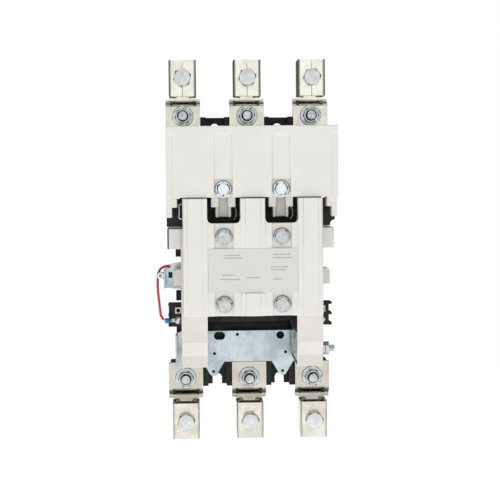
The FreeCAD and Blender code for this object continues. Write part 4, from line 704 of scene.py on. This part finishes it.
pole_pitch = 0.0635
stud_heights = {"line": 0.138, "load": -0.1235}
tongue_face = 0.0310
stud_spots = [(pole_pitch * pole, height) for pole in POLES.values()
              for height in stud_heights.values()]
group = bmesh.new()
for x, z in stud_spots:
    rod = turned([(0, 0), (0.00476, 0), (0.00476, 0.0315), (0.0040, 0.0327), (0, 0.0329)], 32)
    gathered(group, rod, facing(x, -0.0121, z))
piece("terminal_studs_finished", group, zinc, "frame", ["terminal_studs"], angle=30)
group = bmesh.new()
for number, (x, z) in enumerate(stud_spots):
    ring = turned([(0.0050, 0), (0.0102, 0), (0.0105, 0.0003), (0.0105, 0.0013),
                   (0.0101, 0.0017), (0.0080, 0.0019), (0.0050, 0.0019), (0.0050, 0)], 48)
    gathered(group, ring, facing(x, -tongue_face, z))
    nut = hexed(flats=0.0143, height=0.0081, face=0.0068, bore=0.0049, sink=0.0009)
    gathered(group, nut, facing(x, -0.0328, z, roll=0.2 + number))
piece("terminal_nuts_finished", group, zinc, "frame", ["terminal_nuts"], angle=30)


# Box lugs. A tin plated tongue with an offset bend and a cradle, and a thick strap bent
# into a ring round it; a hex screw in the ring's front presses on the cable.

def bent_tongue(x, stud, up, ramp, slope, shoulder, lean):
    """A strip with an offset bend, flared into a neck and narrowed to lie in its collar."""
    plate_half, neck_half, bed_half = 0.01715, 0.00575, 0.0105
    start = -0.0155
    wide_end = ramp + slope + shoulder
    neck_end = wide_end + 0.0036
    tip = neck_end + 0.0354
    form = bmesh.new()
    bmesh.ops.create_grid(form, x_segments=24, y_segments=170, size=0.5)
    for vert in form.verts:
        along = (vert.co.y + 0.5) * (tip - start) + start
        half = plate_half
        if along > neck_end:
            half = bed_half
        elif along > wide_end:
            flare = max(0.0, 1 - (along - wide_end) / 0.0032)
            half = neck_half + 0.0050 * (1 - math.sqrt(1 - flare ** 2))
        step = min(max((along - ramp) / slope, 0), 1)
        back = min(max((along - ramp - slope) / (neck_end - ramp - slope), 0), 1)
        offset = 0.0086 * step * step * (3 - 2 * step) - lean * back
        across = vert.co.x * 2 * half
        bed = min(max((along - neck_end) / 0.006, 0), 1)
        trough = 0.0013 * bed * max(0.0, 1 - (across / bed_half) ** 2)
        vert.co = (x + across, offset + trough - tongue_face, stud + up * along)
    bmesh.ops.recalc_face_normals(form, faces=form.faces)
    bmesh.ops.solidify(form, geom=form.faces[:], thickness=0.0035)
    bmesh.ops.recalc_face_normals(form, faces=form.faces)
    return form


def bent_collar(low, high, seam):
    """A strap bent into a closed ring; where it has a seam, its ends meet in front."""
    half_gap = 0.00025
    form = bmesh.new()
    bmesh.ops.create_cube(form, size=1.0)
    bmesh.ops.scale(form, verts=form.verts, vec=high - low)
    bmesh.ops.translate(form, verts=form.verts, vec=(low + high) / 2)
    upright = [e for e in form.edges if abs(e.verts[0].co.z - e.verts[1].co.z) > 0.01]
    bmesh.ops.bevel(form, geom=upright, offset=0.0029, segments=8, profile=0.5,
                    affect="EDGES", material=-1)
    ends = [f for f in form.faces if abs(f.normal.z) > 0.9]
    bmesh.ops.delete(form, geom=ends, context="FACES_ONLY")
    if seam:
        middle = (low.x + high.x) / 2
        for x in (middle - half_gap, middle + half_gap):
            front = [f for f in form.faces if f.normal.y < -0.99]
            around = {v for f in front for v in f.verts} | {e for f in front for e in f.edges}
            bmesh.ops.bisect_plane(form, geom=front + list(around), plane_co=(x, 0, 0),
                                   plane_no=(1, 0, 0))
        strip = [f for f in form.faces if f.normal.y < -0.99
                 and abs(f.calc_center_median().x - middle) < 0.0002]
        bmesh.ops.delete(form, geom=strip, context="FACES")
    bmesh.ops.recalc_face_normals(form, faces=form.faces)
    bmesh.ops.solidify(form, geom=form.faces[:], thickness=0.0026)
    bmesh.ops.recalc_face_normals(form, faces=form.faces)
    return form


def painted_bend_skin():
    """Plated bar with a near-black band across the offset bend: painted dark reflection."""
    tree, given, result, place = effect("painted bend skin", [
        ("Colour", "NodeSocketColor", (0.53, 0.515, 0.46, 1)),
        ("Shade", "NodeSocketColor", (0.455, 0.435, 0.375, 1)),
        ("Painted bend reflection", "NodeSocketColor", (0.09, 0.09, 0.07, 1))])
    split = tree.nodes.new("ShaderNodeSeparateXYZ")
    tree.links.new(place, split.inputs["Vector"])
    clouds = mapped(tree, noise(tree, place, 70.0, 5.0), 0.36, 0.64, 0.0, 1.0)
    # The band mask across the bend: the dark colour there is painted dark reflection.
    painted_band = tree.nodes.new("ShaderNodeMath")
    painted_band.operation = "MULTIPLY"
    tree.links.new(mapped(tree, split.outputs["Z"], -0.1420, -0.1400, 0.0, 1.0),
                   painted_band.inputs[0])
    tree.links.new(mapped(tree, split.outputs["Z"], -0.1366, -0.1344, 1.0, 0.0),
                   painted_band.inputs[1])
    colour = blended(tree, clouds, given["Colour"], given["Shade"])
    tree.links.new(blended(tree, painted_band.outputs[0], colour, given["Painted bend reflection"]), result["Colour"])
    tree.links.new(mapped(tree, clouds, 0.0, 1.0, 0.14, 0.24), result["Roughness"])
    tree.links.new(bumped(tree, noise(tree, place, 260.0, 4.0), 0.05, 0.0004),
                   result["Normal"])
    return tree


# Tin for the load tongues: darker than the tin as painted shade, with the painted dark
# reflection across the bend.
painted_bend_tin = finish("painted_bend_tin_plating", painted_bend_skin(), {
    "Colour": (0.46, 0.445, 0.39, 1), "Shade": (0.40, 0.38, 0.325, 1),
    "Painted bend reflection": (0.09, 0.09, 0.07, 1)}, Metallic=1.0)
# A lighter copy of the tin for the line collars: painted highlight.
lit_tin = finish("lit_tin_plating", plating, {
    "Colour": (0.64, 0.63, 0.58, 1), "Shade": (0.56, 0.545, 0.49, 1), "Cloud size": 70.0,
    "Smooth": 0.12, "Rough": 0.22, "Dents": 0.05}, Metallic=1.0)
for side, pole in POLES.items():
    for end, up, ramp, slope, shoulder, lean, cover, wrap in (
            ("line", 1, 0.0099, 0.0060, 0.0009, 0.0006, tin, lit_tin),
            ("load", -1, 0.0105, 0.0078, 0.0027, 0.0018, painted_bend_tin, tin)):
        tongue = bent_tongue(pole_pitch * pole, stud_heights[end], up, ramp, slope, shoulder,
                             lean)
        piece(f"{end}_lug_{side}_finished", tongue, cover, "frame", [f"{end}_lug_{side}"],
              angle=40)
        low, high = (Vector(corner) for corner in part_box(f"{end}_collar_{side}"))
        collar = bent_collar(low, high, end == "line")
        piece(f"{end}_collar_{side}_finished", collar, wrap, "frame",
              [f"{end}_collar_{side}"], angle=40)
group = bmesh.new()
for number, (side, end) in enumerate((s, e) for s in POLES for e in ("line", "load")):
    low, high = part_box(f"{end}_collar_{side}")
    x = pole_pitch * POLES[side]
    z = (low[2] + high[2]) / 2
    head = hexed(flats=0.0159, height=0.0086, face=0.0077)
    gathered(group, head, facing(x, low[1] - 0.0004, z, roll=0.3 + number))
    rod = turned([(0, 0.0001), (0.0063, 0.0001), (0.0063, -0.0110), (0.0055, -0.0119),
                  (0, -0.0119)], 32)
    gathered(group, rod, facing(x, low[1] - 0.0004, z))
steel = finish("plated_steel", plating, {
    "Colour": (0.50, 0.515, 0.505, 1), "Shade": (0.42, 0.44, 0.44, 1), "Cloud size": 220.0,
    "Smooth": 0.16, "Rough": 0.28, "Dents": 0.07}, Metallic=1.0)
piece("pressure_screws_finished", group, steel, "frame", ["pressure_screws"], angle=30)


# Studio. A pale floor below, soft light from above and both sides, and a camera in
# front of the contactor, slightly high and to the left.

paper = bpy.data.materials.new("studio_paper")
paper.use_nodes = True
sheet = paper.node_tree.nodes["Principled BSDF"].inputs
sheet["Base Color"].default_value = (0.9, 0.9, 0.9, 1)
sheet["Roughness"].default_value = 0.9
sheet["Emission Color"].default_value = (1, 1, 1, 1)
sheet["Emission Strength"].default_value = 0.95
form = bmesh.new()
bmesh.ops.create_grid(form, x_segments=1, y_segments=1, size=4.0)
bmesh.ops.translate(form, verts=form.verts, vec=(0, 0, -0.70))
mesh = bpy.data.meshes.new("floor")
form.to_mesh(mesh)
form.free()
mesh.materials.append(paper)
floor = bpy.data.objects.new("floor", mesh)
bpy.context.scene.collection.objects.link(floor)

world = bpy.data.worlds.new("studio")
bpy.context.scene.world = world
bpy.context.scene.view_settings.view_transform = "Standard"
world.use_nodes = True
tree = world.node_tree
background = tree.nodes["Background"]
background.inputs["Color"].default_value = (1, 1, 1, 1)
background.inputs["Strength"].default_value = 0.12
plain = tree.nodes.new("ShaderNodeBackground")
plain.inputs["Color"].default_value = (1, 1, 1, 1)
plain.inputs["Strength"].default_value = 1.0
mix = tree.nodes.new("ShaderNodeMixShader")
path = tree.nodes.new("ShaderNodeLightPath")
tree.links.new(path.outputs["Is Camera Ray"], mix.inputs["Fac"])
tree.links.new(background.outputs["Background"], mix.inputs[1])
tree.links.new(plain.outputs["Background"], mix.inputs[2])
tree.links.new(mix.outputs["Shader"], tree.nodes["World Output"].inputs["Surface"])


def softbox(name, place, aim, width, height, power):
    """A rectangular area light that looks at a point."""
    data = bpy.data.lights.new(name, "AREA")
    data.shape = "RECTANGLE"
    data.size = width
    data.size_y = height
    data.energy = power
    light = bpy.data.objects.new(name, data)
    light.location = place
    light.rotation_euler = (Vector(aim) - Vector(place)).to_track_quat("-Z", "Y").to_euler()
    bpy.context.scene.collection.objects.link(light)


softbox("front_softbox", (-0.05, -1.75, 0.15), (0, 0, 0.15), 1.7, 0.96, 7.0)
softbox("low_softbox", (-0.05, -1.75, -0.5), (0, 0, -0.5), 1.7, 0.34, 1.35)
softbox("high_softbox", (0, -1.4, 1.0), (0, 0, 0), 1.6, 0.6, 1.9)
softbox("top_softbox", (0, -0.1, 1.5), (0, -0.1, 0), 1.6, 2.0, 10)
softbox("left_softbox", (-1.35, -1.05, 0.2), (0, 0, 0), 1.3, 1.4, 3.1)
softbox("right_softbox", (1.35, -1.05, 0.2), (0, 0, 0), 1.3, 1.4, 2.6)

yaw = math.radians(2.25)
rise = math.radians(2.92)
tilt = math.radians(-0.55)
distance = 1.361
aim = Vector((0.0032, 0, 0.0028))
away = Vector((-math.sin(yaw) * math.cos(rise), -math.cos(yaw) * math.cos(rise),
               math.sin(rise)))
camera_data = bpy.data.cameras.new("camera")
camera_data.lens = 95.7
camera_data.sensor_width = 36
camera = bpy.data.objects.new("camera", camera_data)
look = (-away).to_track_quat("-Z", "Y").to_matrix().to_4x4()
camera.matrix_world = (Matrix.Translation(aim + away * distance) @ look
                       @ Matrix.Rotation(tilt, 4, "Z"))
bpy.context.scene.collection.objects.link(camera)
bpy.context.scene.camera = camera
